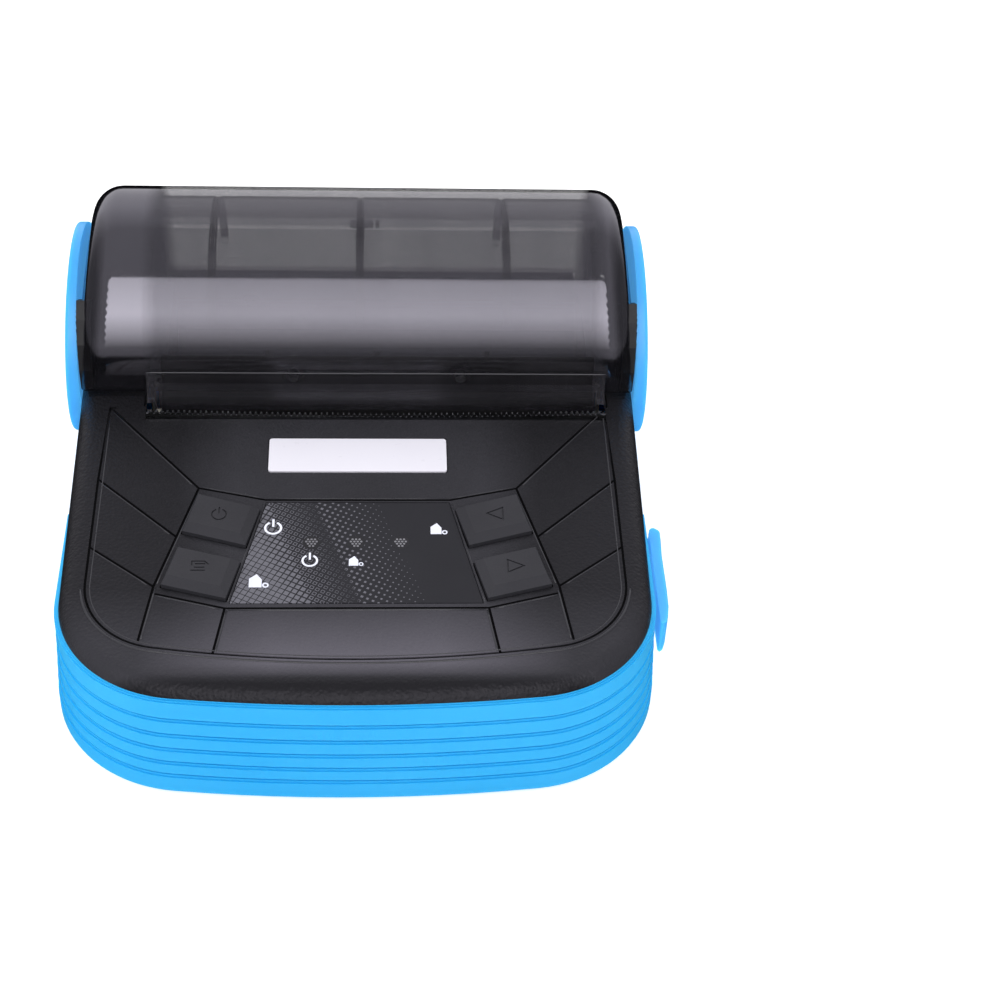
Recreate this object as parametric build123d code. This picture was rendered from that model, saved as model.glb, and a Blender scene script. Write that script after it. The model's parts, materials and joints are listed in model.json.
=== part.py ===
from build123d import *
import math
import os

# Portable 80 mm receipt printer.
# Frame: X to the viewer's right, Y to the back, Z up.  The origin is the centre
# of the footprint on the resting plane.  All sizes in millimetres.

# ---------------------------------------------------------------- dimensions
# base shell
BASE_HALF = 52.2          # half width of the ribbed base
BASE_FRONT = -59.15       # front of the base at the middle
BASE_REAR = 58.2          # rear of the base
BASE_BOW = 280.0          # radius of the bowed front
BASE_CORNER = 24.0        # front corner radius in plan
REAR_CORNER = 9.0         # rear corner radius in plan
FLOOR_Z = 0.8             # underside of the shell, above the feet
FLOOR_T = 2.0             # floor thickness
WALL = 2.2                # base wall
TUB_Z = 7.4               # top of the low rear part of the base
BUMPER_Z = 22.6           # top of the high front part of the base
BUMPER_Y = -12.0          # where the high front part ends
RIB_LEVELS = [0.3, 5.1, 8.1, 11.3, 14.6, 18.2, 22.6]
RIB_INSET = [0.0, 0.2, 0.4, 0.6, 0.8, 0.95]     # the walls lean in towards the top

# upper housing
TOP_HALF_REAR = 52.0      # half width at the rear
TOP_HALF_FRONT = 50.45    # half width at the front
TOP_FRONT = -58.0
TOP_REAR = 58.0
TOP_WALL = 2.0
TOP_ROLL = 3.4            # rolled top edge
PANEL_SLOPE = 2.5         # panel falls towards the front, degrees
PANEL_Y0 = -11.5          # a point on the panel plane
PANEL_Z0 = 26.5
PANEL_T = 2.0
PANEL_REAR = 13.5         # rear edge of the panel, at the cover
SLOT_X0, SLOT_X1 = -38.8, 45.6    # paper exit notch
SLOT_Y = 7.4

# paper cover
COVER_Y, COVER_Z = 35.2, 31.2     # centre of the round profile
COVER_R = 23.0
COVER_T = 1.8
COVER_HALF = 50.8         # half width of the cover at its lower edge
COVER_DRAFT = 7.3         # side draft, degrees
COVER_UPPER = 1.25        # how far the drafted planes lie outside the foot, at the foot
COVER_EDGE = 5.6          # rounding of the two end edges
HINGE_Y, HINGE_Z = 55.9, 21.6     # cover hinge axis

# side caps
CAP_Y, CAP_Z, CAP_R = 34.0, 27.6, 19.8
CAP_X0 = 51.2             # inner face
CAP_X1 = 54.3             # outer face at the middle
CAP_LEAN = 2.0            # lean of the outer face, degrees
CAP_DOME = 300.0          # dome radius of the outer face

# paper bay
BIN_Y, BIN_Z, BIN_R = 35.4, 30.6, 20.6
BIN_X0, BIN_X1 = -36.4, 43.6
BIN_T = 1.4

# platen and drive train
PLATEN_Y, PLATEN_Z, PLATEN_R = 14.2, 18.0, 4.1
GEAR_M = 0.5
N_PLATEN, N_SMALL2, N_BIG2, N_SMALL1, N_BIG1, N_PINION = 17, 15, 24, 12, 28, 12
G2_Y = PLATEN_Y + 0.09 * 8.0
G2_Z = PLATEN_Z - 0.996 * 8.0
G1_ANG = math.radians(166.05)
G1_Y = G2_Y + 9.0 * math.cos(G1_ANG)
G1_Z = G2_Z + 9.0 * math.sin(G1_ANG)
MOT_ANG = math.radians(176.0)
MOT_Y = G1_Y + 10.0 * math.cos(MOT_ANG)
MOT_Z = G1_Z + 10.0 * math.sin(MOT_ANG)
MOTOR_R = 7.5

# print head
HEAD_PIVOT_Y, HEAD_PIVOT_Z = 7.9, 10.4

# controls: corners of the key caps on the panel, outer side first
KEY_UP = [(30.3, -21.2), (28.2, -12.5), (17.1, -16.0), (19.3, -24.6)]
KEY_LOW = [(33.1, -33.6), (30.9, -25.2), (20.0, -28.4), (22.1, -36.8)]
KEY_GAP = 0.25            # clearance of a cap in its hole
KEY_RISE = 0.7            # straight side above the panel
KEY_TOP = 1.3             # top face above the panel
KEY_TRAVEL = 0.5
LED_X = [-8.0, -0.3, 7.4]
LED_Y = -23.4

# board and battery
BOARD_Z, BOARD_T = 18.6, 1.2
BAT = (-31.0, 31.0, -50.0, -16.0, 2.6, 16.4)
DOOR = (-33.0, 33.0, -51.4, -14.6)
DOOR_AX_Y, DOOR_AX_Z = -13.9, 1.65
DOOR_LUGS = (-20.0, 20.0)

USB_Y, USB_Z = -22.9, 17.0
FLAP_AX_X, FLAP_AX_Y = 53.0, -14.9    # hinge axis of the port cover

CASE_SCREWS = [(-42.0, -43.0), (42.0, -43.0), (-45.3, 50.0), (45.3, 50.0)]
FEET = [(-43.0, -29.0), (43.0, -29.0), (-42.0, 38.0), (42.0, 38.0)]
BOARD_SCREWS = [(-38.5, -17.0), (38.5, -17.0), (0.0, -46.5)]

SIN = math.sin(math.radians(PANEL_SLOPE))
COS = math.cos(math.radians(PANEL_SLOPE))
PANEL = Plane(origin=(0, PANEL_Y0, PANEL_Z0), x_dir=(1, 0, 0), z_dir=(0, -SIN, COS))


def panel_z(y):
    return PANEL_Z0 + (y - PANEL_Y0) * math.tan(math.radians(PANEL_SLOPE))


# ------------------------------------------------------------------- helpers
def box(x0, x1, y0, y1, z0, z1):
    return Pos((x0 + x1) / 2, (y0 + y1) / 2, (z0 + z1) / 2) * Box(x1 - x0, y1 - y0, z1 - z0)


def cyl_x(y, z, r, x0, x1):
    return Pos((x0 + x1) / 2, y, z) * Rot(0, 90, 0) * Cylinder(r, x1 - x0)


def cyl_y(x, z, r, y0, y1):
    return Pos(x, (y0 + y1) / 2, z) * Rot(90, 0, 0) * Cylinder(r, y1 - y0)


def cyl_z(x, y, r, z0, z1):
    return Pos(x, y, (z0 + z1) / 2) * Cylinder(r, z1 - z0)


def face_of(points):
    return make_face(Polyline(*points, close=True))


def prism_x(points, x0, x1):
    """Polygon of (y, z) points pushed along X."""
    f = Plane(origin=(x0, 0, 0), x_dir=(0, 1, 0), z_dir=(1, 0, 0)) * face_of(points)
    return extrude(f, x1 - x0)


def prism_y(points, y0, y1):
    """Polygon of (x, z) points pushed along Y."""
    f = Plane(origin=(0, y0, 0), x_dir=(-1, 0, 0), z_dir=(0, 1, 0)) * face_of([(-a, b) for a, b in points])
    return extrude(f, y1 - y0)


def prism_z(points, z0, z1):
    f = Plane(origin=(0, 0, z0), x_dir=(1, 0, 0), z_dir=(0, 0, 1)) * face_of(points)
    return extrude(f, z1 - z0)


def on_panel(sketch_face, lo, hi):
    """A sketch in panel coordinates (x, y measured on the panel) pushed from
    height lo to height hi above the panel."""
    p = Plane(origin=PANEL.origin + PANEL.z_dir * lo, x_dir=PANEL.x_dir, z_dir=PANEL.z_dir)
    return extrude(p * sketch_face, hi - lo)


def pv(pt):
    """World (x, y) on the panel to panel coordinates."""
    return (pt[0], (pt[1] - PANEL_Y0) / COS)


def plan(half_front, half_rear, front, rear, bow, corner, rear_corner, inset=0.0):
    """Plan outline: straight sides, bowed front, rounded corners."""
    y_ref = -34.0
    slope = (half_rear - half_front) / (rear - y_ref)
    h_f = half_front + (front - 3 - y_ref) * slope
    sides = face_of([(-half_rear, rear), (-h_f, front - 3), (h_f, front - 3), (half_rear, rear)])
    disc = Pos(0, front + bow) * Circle(bow)
    f = sides & disc
    f = f.faces()[0]
    vs = f.vertices()
    front_v = [v for v in vs if v.Y < 0]
    rear_v = [v for v in vs if v.Y > 0]
    sk = fillet(front_v, corner)
    rear_v = [v for v in sk.vertices() if v.Y > rear - 1]
    sk = fillet(rear_v, rear_corner)
    if inset:
        sk = offset(sk, -inset)
    return sk


def slab(sketch_face, z0, z1):
    return extrude(Pos(0, 0, z0) * sketch_face, z1 - z0)


def half_above(z_plane_lift):
    """Everything above the panel plane shifted by z_plane_lift."""
    p = Plane(origin=PANEL.origin + PANEL.z_dir * z_plane_lift, x_dir=PANEL.x_dir, z_dir=PANEL.z_dir)
    return extrude(p * Rectangle(260, 260), 80)


def one(shape):
    """The shape's solids as one object."""
    s = shape.solids()
    return s[0] if len(s) == 1 else Compound(children=list(s))


def write(name, *shapes):
    solids = []
    for sh in shapes:
        solids += list(sh.solids())
    out = solids[0] if len(solids) == 1 else Compound(children=solids)
    export_step(out, "parts/" + name + ".step")
    print(name, len(solids), round(sum(s.volume for s in solids), 2))


def screw(head_r, head_h, shank_r, length):
    """Pan-head screw, head on top of z = 0, shank below, with a cross recess."""
    s = cyl_z(0, 0, head_r, 0, head_h) + cyl_z(0, 0, shank_r, -length, 0)
    s -= box(-head_r * 0.6, head_r * 0.6, -0.22, 0.22, head_h - 0.55, head_h + 1)
    s -= box(-0.22, 0.22, -head_r * 0.6, head_r * 0.6, head_h - 0.55, head_h + 1)
    return s


def gear_face(n, m, phase, thin=0.05, add=0.8, ded=1.1):
    """Involute spur gear outline; a tooth centre lies at angle phase."""
    rp = n * m / 2
    rb = rp * math.cos(math.radians(20))
    ra = rp + add * m
    rr = rp - ded * m
    half_p = (math.pi * m / 2 - 2 * thin) / 2 / rp

    def inv(r):
        if r <= rb:
            return 0.0
        t = math.sqrt((r / rb) ** 2 - 1)
        return t - math.atan(t)

    inv_p = inv(rp)
    radii = [rr, max(rb, rr + 0.02) if rb > rr else rr + 0.15 * (ra - rr)]
    radii += [radii[1] + (ra - radii[1]) * k for k in (0.35, 0.7, 1.0)]
    pts = []
    for i in range(n):
        c = phase + 2 * math.pi * i / n
        for r in radii:
            a = c - (half_p + inv_p - inv(r))
            pts.append((r * math.cos(a), r * math.sin(a)))
        for r in reversed(radii):
            a = c + (half_p + inv_p - inv(r))
            pts.append((r * math.cos(a), r * math.sin(a)))
    return face_of(pts)


def gear_x(n, phase, y, z, x0, x1):
    """Spur gear about an X axis; angles run from +Y towards +Z."""
    f = Plane(origin=(x0, y, z), x_dir=(0, 1, 0), z_dir=(1, 0, 0)) * gear_face(n, GEAR_M, phase)
    return extrude(f, x1 - x0)


def mesh_phase(n_a, phase_a, n_b, theta):
    """Phase of gear b so that it meshes with gear a, which lies at the other
    end of the line of centres; theta points from a to b."""
    pa, pb = 2 * math.pi / n_a, 2 * math.pi / n_b
    fa = ((theta - phase_a) / pa) % 1.0
    fb = (0.5 - fa) % 1.0
    return theta + math.pi - fb * pb


# ------------------------------------------------------------ 1  bottom case
blue = plan(BASE_HALF, BASE_HALF, BASE_FRONT, BASE_REAR, BASE_BOW, BASE_CORNER, REAR_CORNER)
blue_in = plan(BASE_HALF, BASE_HALF, BASE_FRONT, BASE_REAR, BASE_BOW, BASE_CORNER, REAR_CORNER, WALL)

tub_zone = box(-80, 80, -80, BUMPER_Y, -1, 60) + box(-80, 80, -80, 80, -1, TUB_Z)
base = None
for k in range(6):
    lo, hi = RIB_LEVELS[k], RIB_LEVELS[k + 1]
    ins = RIB_INSET[k]
    drop = 0.9 if k < 5 else 0.7
    depth = 0.55 if k < 5 else 0.5
    # lapped ribs: each band leans in towards its top edge
    upper = slab(plan(BASE_HALF, BASE_HALF, BASE_FRONT, BASE_REAR, BASE_BOW, BASE_CORNER, REAR_CORNER, ins + depth), hi - drop * 0.5, hi)
    mid = slab(plan(BASE_HALF, BASE_HALF, BASE_FRONT, BASE_REAR, BASE_BOW, BASE_CORNER, REAR_CORNER, ins + depth * 0.5), hi - drop, hi - drop * 0.5)
    body = slab(plan(BASE_HALF, BASE_HALF, BASE_FRONT, BASE_REAR, BASE_BOW, BASE_CORNER, REAR_CORNER, ins), lo, hi - drop)
    ring = body + mid + upper
    if hi > TUB_Z + 0.01:
        ring = ring & tub_zone
    base = ring if base is None else base + ring

cavity = slab(blue_in, FLOOR_Z + FLOOR_T, 60)
base -= cavity
# soft lower edge
rim_z = RIB_LEVELS[0]
base -= (slab(blue, rim_z - 1, rim_z + 0.3) - slab(plan(BASE_HALF, BASE_HALF, BASE_FRONT, BASE_REAR, BASE_BOW, BASE_CORNER, REAR_CORNER, 0.4), rim_z - 1, rim_z + 0.3))
base -= (slab(blue, rim_z + 0.2, rim_z + 0.7) - slab(plan(BASE_HALF, BASE_HALF, BASE_FRONT, BASE_REAR, BASE_BOW, BASE_CORNER, REAR_CORNER, 0.14), rim_z + 0.2, rim_z + 0.7))
# the underside lies inside a low rim
base -= slab(plan(BASE_HALF, BASE_HALF, BASE_FRONT, BASE_REAR, BASE_BOW, BASE_CORNER, REAR_CORNER, 2.0), rim_z - 1, FLOOR_Z)

# screw posts
for (sx, sy) in CASE_SCREWS:
    base += cyl_z(sx, sy, 3.2, FLOOR_Z + FLOOR_T - 0.1, 8.0)
    base -= cyl_z(sx, sy, 2.4, FLOOR_Z - 1, 4.2)
    base -= cyl_z(sx, sy, 1.1, 4.0, 9.0)
# foot recesses
for (fx, fy) in FEET:
    base -= cyl_z(fx, fy, 4.0, FLOOR_Z - 1, 1.7)
# battery bay: floor opening and four thin walls
dx0, dx1, dy0, dy1 = DOOR
bay = box(dx0 - 1.6, dx1 + 1.6, dy0 - 0.6, dy1 + 1.6, FLOOR_Z + FLOOR_T - 0.1, 17.2)
bay -= box(dx0 - 0.4, dx1 + 0.4, dy0 + 0.4, dy1 + 0.4, 0, 20)
bay = bay & slab(plan(BASE_HALF, BASE_HALF, BASE_FRONT, BASE_REAR, BASE_BOW, BASE_CORNER, REAR_CORNER, WALL + 0.8), 0, 20)
base += bay
base -= box(dx0 - 0.2, dx1 + 0.2, dy0 - 0.2, dy1 + 0.3, -1, FLOOR_Z + 1.6)
base -= box(dx0 + 1.2, dx1 - 1.2, dy0 + 0.8, dy1 + 0.3, -1, 4)
for sx in DOOR_LUGS:
    base -= cyl_x(DOOR_AX_Y, DOOR_AX_Z, 1.15, sx - 2.2, sx + 2.2)
    base -= box(sx - 2.2, sx + 2.2, DOOR_AX_Y - 1.15, DOOR_AX_Y + 1.15, -1, DOOR_AX_Z)
    base -= cyl_x(DOOR_AX_Y, DOOR_AX_Z, 0.56, sx - 2.9, sx + 2.9)
# cove that the rear edge of the door swings in, left out beside the pivots
cove = cyl_x(DOOR_AX_Y, DOOR_AX_Z, 1.2, dx0 - 0.2, dx1 + 0.2) & box(-40, 40, -20, -10, -1, DOOR_AX_Z + 0.1)
for sx in DOOR_LUGS:
    cove -= box(sx - 3.2, sx + 3.2, -20, -10, -2, 5)
base -= cove
# thumb recess and catch at the front of the bay
base -= box(-7.0, 7.0, dy0 - 2.6, dy0, -1, 1.6)
# cable socket opening in the right wall
base -= box(49.0, 54.0, USB_Y - 4.95, USB_Y + 4.95, USB_Z - 2.0, USB_Z + 2.0)
# hinge lug of the port cover
base += (cyl_z(FLAP_AX_X, FLAP_AX_Y, 0.62, 15.3, 18.1) + box(50.6, FLAP_AX_X, FLAP_AX_Y - 0.62, FLAP_AX_Y + 0.62, 15.3, 18.1))
base -= cyl_z(FLAP_AX_X, FLAP_AX_Y, 0.3, 14.8, 18.8)
# posts for the mechanism and for the paper bay
MECH_SCREWS = [(-27.0, 5.6), (36.0, 5.6), (3.4, 5.6)]
for (mx, my) in MECH_SCREWS:
    base += cyl_z(mx, my, 2.6, 2.7, 4.0)
    base -= cyl_z(mx, my, 0.95, 1.6, 4.2)
for (px, py) in [(-18.0, BIN_Y), (25.0, BIN_Y)]:
    base += cyl_z(px, py, 2.4, 2.7, BIN_Z - BIN_R - BIN_T - 0.02)
BIN_SCREWS = [(-22.0, 53.9), (29.0, 53.9)]
for (px, py) in BIN_SCREWS:
    base += cyl_z(px, py, 2.0, 2.7, 16.0)
    base -= cyl_z(px, py, 0.95, 10.0, 16.2)
base = one(base)

# ------------------------------------------------------------- 2  top housing
black = plan(TOP_HALF_FRONT, TOP_HALF_REAR, TOP_FRONT, TOP_REAR, BASE_BOW, 22.5, REAR_CORNER)
black_in = plan(TOP_HALF_FRONT, TOP_HALF_REAR, TOP_FRONT, TOP_REAR, BASE_BOW, 22.5, REAR_CORNER, TOP_WALL)
top = slab(black, TUB_Z + 0.02, 60) - half_above(0)
top_loop = top.faces().filter_by(lambda f: abs(f.normal_at().Z) > 0.9).sort_by(Axis.Z)[-1].edges()
top = fillet(top_loop, TOP_ROLL)
inner = slab(black_in, 0, 60) - half_above(-PANEL_T)
top -= inner
# the high front of the base takes the place of the wall here
top -= box(-80, 80, -80, BUMPER_Y + 0.05, -1, BUMPER_Z + 0.02)
# opening for the paper cover
open_pts = [(PANEL_REAR, 80), (PANEL_REAR, 27.2), (50.0, 23.6), (53.0, 23.0), (80, 23.0), (80, 80)]
top -= prism_x(open_pts, -80, 80)
# a web under the rear edge of the panel on both sides of the paper exit
top += box(-49.7, SLOT_X0, PANEL_REAR - 1.4, PANEL_REAR, 25.4, 26.6)
top += box(SLOT_X1, 49.7, PANEL_REAR - 1.4, PANEL_REAR, 25.4, 26.6)
# paper exit notch with its front ledge
top -= box(SLOT_X0, SLOT_X1, SLOT_Y, 30, 20, 40)
top += box(SLOT_X0, SLOT_X1, SLOT_Y - 1.6, SLOT_Y, 23.4, 26.0)
top += box(SLOT_X0, SLOT_X1, SLOT_Y - 0.2, SLOT_Y + 1.0, 23.4, 26.3)
# end reliefs that let the platen shaft and its bushes swing out
top -= box(SLOT_X0 - 0.5, SLOT_X0 + 0.1, 10.8, 30, 20, 40)
top -= box(SLOT_X1 - 0.1, SLOT_X1 + 0.5, 10.8, 30, 20, 40)
# recesses that the side caps sit in
for s in (-1, 1):
    xs = sorted((s * 51.15, s * 60))
    top -= cyl_x(CAP_Y, CAP_Z, CAP_R + 0.25, xs[0], xs[1])
# peg holes for the side caps
CAP_PEGS = [(22.0, 17.0), (46.0, 17.0)]
for s in (-1, 1):
    for (py, pz) in CAP_PEGS:
        xs = sorted((s * 48.0, s * 53.0))
        top -= cyl_x(py, pz, 1.5, xs[0], xs[1])
# rear corner blocks beside the paper bay, seen through the cover
for (x0, x1, f0, f1) in ((-46.4, -38.1, -42.9, -40.4), (45.3, 47.9, 47.3, 48.4)):
    top += box(x0, x1, 51.0, 53.2, 22.5, 33.4)
    top += box(f0, f1, 51.0, 55.6, 18.6, 22.6)
# screw posts
for (sx, sy) in CASE_SCREWS:
    z_top = panel_z(sy) - PANEL_T + 0.5 if sy < 0 else 11.7
    post = cyl_z(sx, sy, 3.0, 8.02, z_top)
    if sy > 0:
        s = 1 if sx > 0 else -1
        xs = sorted((sx, s * 50.4))
        post += box(xs[0], xs[1], sy - 1.0, sy + 1.0, 8.02, z_top)
    post -= cyl_z(sx, sy, 1.1, 7.0, 14.0)
    top += post & (slab(plan(TOP_HALF_FRONT, TOP_HALF_REAR, TOP_FRONT, TOP_REAR, BASE_BOW, 22.5, REAR_CORNER, 0.8), 0, 60))
for (sx, sy) in BOARD_SCREWS:
    top += cyl_z(sx, sy, 2.3, BOARD_Z + BOARD_T, panel_z(sy) - PANEL_T + 0.4)
    top -= cyl_z(sx, sy, 0.95, BOARD_Z, 22.0)
# hinge knuckles on the rear wall
KNUCKLES = [(-50.0, -47.2), (-43.1, -40.2), (40.2, 43.1), (47.2, 50.0)]
COVER_KNUCKLES = [(-46.9, -43.4), (43.4, 46.9)]
for (k0, k1) in KNUCKLES:
    kn = cyl_x(HINGE_Y, HINGE_Z, 2.05, k0, k1) + box(k0, k1, HINGE_Y - 0.6, 57.0, HINGE_Z - 3.6, HINGE_Z)
    top += kn & slab(plan(TOP_HALF_FRONT, TOP_HALF_REAR, TOP_FRONT, TOP_REAR, BASE_BOW, 22.5, REAR_CORNER, 0.05), 0, 60)
for (k0, k1) in COVER_KNUCKLES:
    top -= cyl_x(HINGE_Y, HINGE_Z, 2.5, k0 - 0.3, k1 + 0.3)
    top -= box(k0 - 0.3, k1 + 0.3, HINGE_Y - 2.5, 60, HINGE_Z - 2.5, 30)
for s in (-1, 1):
    xs = sorted((s * 40.0, s * 50.2))
    top -= cyl_x(HINGE_Y, HINGE_Z, 0.9, xs[0], xs[1])

# shallow line work on the panel: an inset outline and the cells inside it
GROOVE_W, GROOVE_D = 0.42, 0.35


def stroke(p, q, w=GROOVE_W):
    (x0, y0), (x1, y1) = pv(p), pv(q)
    length = math.hypot(x1 - x0, y1 - y0)
    ang = math.degrees(math.atan2(y1 - y0, x1 - x0))
    return Pos((x0 + x1) / 2, (y0 + y1) / 2) * Rot(0, 0, ang) * Rectangle(length + w * 0.5, w)


def cut_strokes(body, pairs, depth=GROOVE_D, w=GROOVE_W):
    for p, q in pairs:
        body -= on_panel(stroke(p, q, w), -depth, 1.0)
    return body


outline = face_of([pv(p) for p in [(-45.5, 10.6), (-46.1, -8.0), (-46.1, -62.0), (46.1, -62.0), (46.1, -8.0), (45.5, 10.6)]])
outline = outline & (Pos(0, pv((0, -50.0 + 215.0))[1]) * Circle(215.0))
outline = outline.faces()[0]
low_v = [v for v in outline.vertices() if v.Y < pv((0, -40.0))[1]]
outline = fillet(low_v, 14.5)
ring = outline - offset(outline, -GROOVE_W)
# the outline is open at the top: it stops at the panel's rear corners
ring -= Pos(0, pv((0, 10.6))[1]) * Rectangle(88.5, 1.4)
top -= on_panel(ring, -GROOVE_D, 1.0)

lines = []
for s in (-1, 1):
    lines += [((s * 45.2, 10.4), (s * 28.1, -10.2)), ((s * 28.1, -10.2), (s * 16.2, -13.1)),
              ((s * 45.9, -8.0), (s * 31.4, -21.9)), ((s * 45.9, -24.4), (s * 34.4, -33.5)),
              ((s * 28.1, -10.2), (s * 34.4, -33.5)), ((s * 34.4, -33.5), (s * 36.1, -45.6)),
              ((s * 34.6, -35.0), (s * 22.2, -38.4)),
              ((s * 22.2, -38.4), (s * 23.7, -48.3))]
lines += [((-16.2, -13.1), (16.2, -13.1)), ((-22.2, -38.4), (22.2, -38.4))]
top = cut_strokes(top, lines)

# key openings
KEYS = {}
for s, side in ((-1, "left"), (1, "right")):
    for nm, pts in (("up", KEY_UP), ("low", KEY_LOW)):
        quad = [(s * x, y) for x, y in pts]
        KEYS[(side, nm)] = quad
        hole = offset(face_of([pv(p) for p in quad]), KEY_GAP)
        top -= on_panel(hole, -8.0, 2.0)

# recesses of the printed overlay and of the blank name plate
OVERLAY = [(-16.0, -13.8), (16.0, -13.8), (21.2, -37.3), (-21.4, -37.3)]
top -= on_panel(offset(face_of([pv(p) for p in OVERLAY]), 0.15), -0.35, 1.0)
PLATE = (-16.05, 15.85, -6.05, 2.3)
plate_c = ((PLATE[0] + PLATE[1]) / 2, (pv((0, PLATE[2]))[1] + pv((0, PLATE[3]))[1]) / 2)
plate_w, plate_h = PLATE[1] - PLATE[0], pv((0, PLATE[3]))[1] - pv((0, PLATE[2]))[1]
top -= on_panel(Pos(*plate_c) * RectangleRounded(plate_w + 0.5, plate_h + 0.5, 0.7), -0.3, 1.0)
# holes of the light guides
for lx in LED_X:
    top -= on_panel(Pos(*pv((lx, LED_Y))) * Circle(1.6), -3.0, 1.0)
top = one(top)

# --------------------------------------------------------------- 3  side caps


def side_cap(s):
    xs = sorted((s * CAP_X0, s * 60.0))
    disc = cyl_x(CAP_Y, CAP_Z, CAP_R, xs[0], xs[1])
    lean = math.radians(CAP_LEAN)
    cx = s * (CAP_X1 - CAP_DOME * math.cos(lean))
    cz = CAP_Z - CAP_DOME * math.sin(lean)
    ball = Pos(cx, CAP_Y, cz) * Rot(0, 90, 0) * Sphere(CAP_DOME)
    cap = disc & ball
    rims = [e for e in cap.edges() if e.length > 20 and abs(e.bounding_box().max.X - e.bounding_box().min.X) > 0.5 and e.length > 100]
    cap = fillet(rims, 0.6)
    for (py, pz) in CAP_PEGS:
        ps = sorted((s * 49.2, s * (CAP_X0 + 0.3)))
        cap += cyl_x(py, pz, 1.5, ps[0], ps[1])
    return one(cap)


left_cap = side_cap(-1)
right_cap = side_cap(1)

# ------------------------------------------------------------- 4  paper cover


def arc_pts(cy, cz, r, a0, a1, n):
    return [(cy + r * math.cos(math.radians(a0 + (a1 - a0) * i / n)),
             cz + r * math.sin(math.radians(a0 + (a1 - a0) * i / n))) for i in range(n + 1)]


def cover_block(r, inset, front_cut, rear_cut, low_front, low_rear, edge):
    """Round-topped block between drafted sides, ends rounded over, cut off
    below along a sloping line and tucked in along the front edge."""
    a_f, a_r = 212.0, -32.0
    p_f = (COVER_Y + r * math.cos(math.radians(a_f)), COVER_Z + r * math.sin(math.radians(a_f)))
    p_r = (COVER_Y + r * math.cos(math.radians(a_r)), COVER_Z + r * math.sin(math.radians(a_r)))
    p_m = (COVER_Y, COVER_Z + r)
    pl = Plane(origin=(-60, 0, 0), x_dir=(0, 1, 0), z_dir=(1, 0, 0))
    f = make_face([ThreePointArc(p_f, p_m, p_r), Line(p_r, p_f)])
    blk = extrude(pl * f, 120)
    t = math.tan(math.radians(COVER_DRAFT))
    h = COVER_HALF - inset
    w = h + COVER_UPPER          # the sides stand upright at the foot, drafted above
    z_low, z_top = 10.0, 60.0
    trap = [(-(w + t * (28.6 - z_low)), z_low), (w + t * (28.6 - z_low), z_low),
            (w - t * (z_top - 28.6), z_top), (-(w - t * (z_top - 28.6)), z_top)]
    blk = blk & prism_y(trap, 0, 80)
    ends = [e for e in blk.edges() if e.center().Z > 40 and abs(e.center().X) > 30]
    blk = fillet(ends, edge)
    blk = blk & box(-(h + 0.05), h + 0.05, 0, 80, 0, 80)
    blk -= prism_x([(0, 0), (0, low_front), (front_cut, low_front), (rear_cut, low_rear), (80, low_rear), (80, 0)], -70, 70)
    blk -= prism_x([(0, 33.9), (COVER_Y - COVER_R + inset + 0.05, 33.9), (front_cut, low_front), (front_cut, low_front - 12), (0, low_front - 12)], -70, 70)
    blk -= prism_x([(rear_cut, low_rear - 5), (80, low_rear - 5), (80, 27.6), (COVER_Y + COVER_R - inset - 0.28, 27.6), (rear_cut, low_rear)], -70, 70)
    return blk


outer = cover_block(COVER_R, 0.0, 14.1, 57.5, 28.3, 24.6, COVER_EDGE)
inner_c = cover_block(COVER_R - COVER_T, COVER_T, 14.1 + COVER_T, 57.5 - COVER_T, 28.2, 24.5, COVER_EDGE - COVER_T)
inner_c += prism_x([(14.1 + COVER_T, 28.4), (57.5 - COVER_T, 24.7), (57.5 - COVER_T, 20.0), (14.1 + COVER_T, 20.0)], -48.4, 48.4)
cover = outer - inner_c
# lip over the paper exit
LIP_X0, LIP_X1 = -38.6, 45.3
lip = prism_x([(12.3, 34.3), (10.75, 28.3), (12.2, 27.9), (14.0, 33.6)], LIP_X0, LIP_X1)
lip += prism_x([(10.8, 28.5), (10.5, 27.0), (11.9, 26.8), (12.3, 28.5)], -37.4, 44.1)
for (x0, x1) in ((LIP_X0, LIP_X0 + 1.1), (LIP_X1 - 1.1, LIP_X1)):
    lip += prism_x([(12.3, 34.3), (10.75, 28.3), (14.6, 28.3), (14.0, 33.6)], x0, x1)
cover += lip
# grip tabs on both sides, beside the side caps
for s in (-1, 1):
    a = 50.85
    tab = prism_x([(14.6, 28.4), (14.3, 33.0), (15.4, 38.0), (17.6, 42.2), (20.0, 44.6), (23.2, 42.4), (20.4, 36.0), (19.4, 28.4)],
                  *(sorted((s * 47.2, s * a))))
    tab -= inner_c
    cover += tab
# three stiffening ribs inside the rear half of the cover
for rx in (-26.6, 0.2, 27.0):
    rib = prism_x(arc_pts(COVER_Y, COVER_Z, COVER_R - 1.0, 112, 0, 14) + arc_pts(COVER_Y, COVER_Z, COVER_R - COVER_T - 0.75, 0, 112, 14), rx - 0.6, rx + 0.6)
    cover += rib
# bosses for the front bar screws
BAR_SCREWS = [(-12.0, 31.0), (18.8, 31.0)]
for (bx, bz) in BAR_SCREWS:
    cover += cyl_y(bx, bz, 2.2, 14.2, 16.6)
    cover -= cyl_y(bx, bz, 0.95, 13.9, 17.0)
# knuckles
for (k0, k1) in COVER_KNUCKLES:
    kn = cyl_x(HINGE_Y, HINGE_Z, 2.05, k0, k1)
    kn += prism_x([(HINGE_Y - 1.4, HINGE_Z + 0.5), (HINGE_Y - 0.2, 26.6), (57.4, 26.6), (HINGE_Y + 2.0, HINGE_Z + 0.5)], k0, k1)
    cover += kn
    cover -= cyl_x(HINGE_Y, HINGE_Z, 1.0, k0 - 1, k1 + 1)
cover = one(cover)

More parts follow.
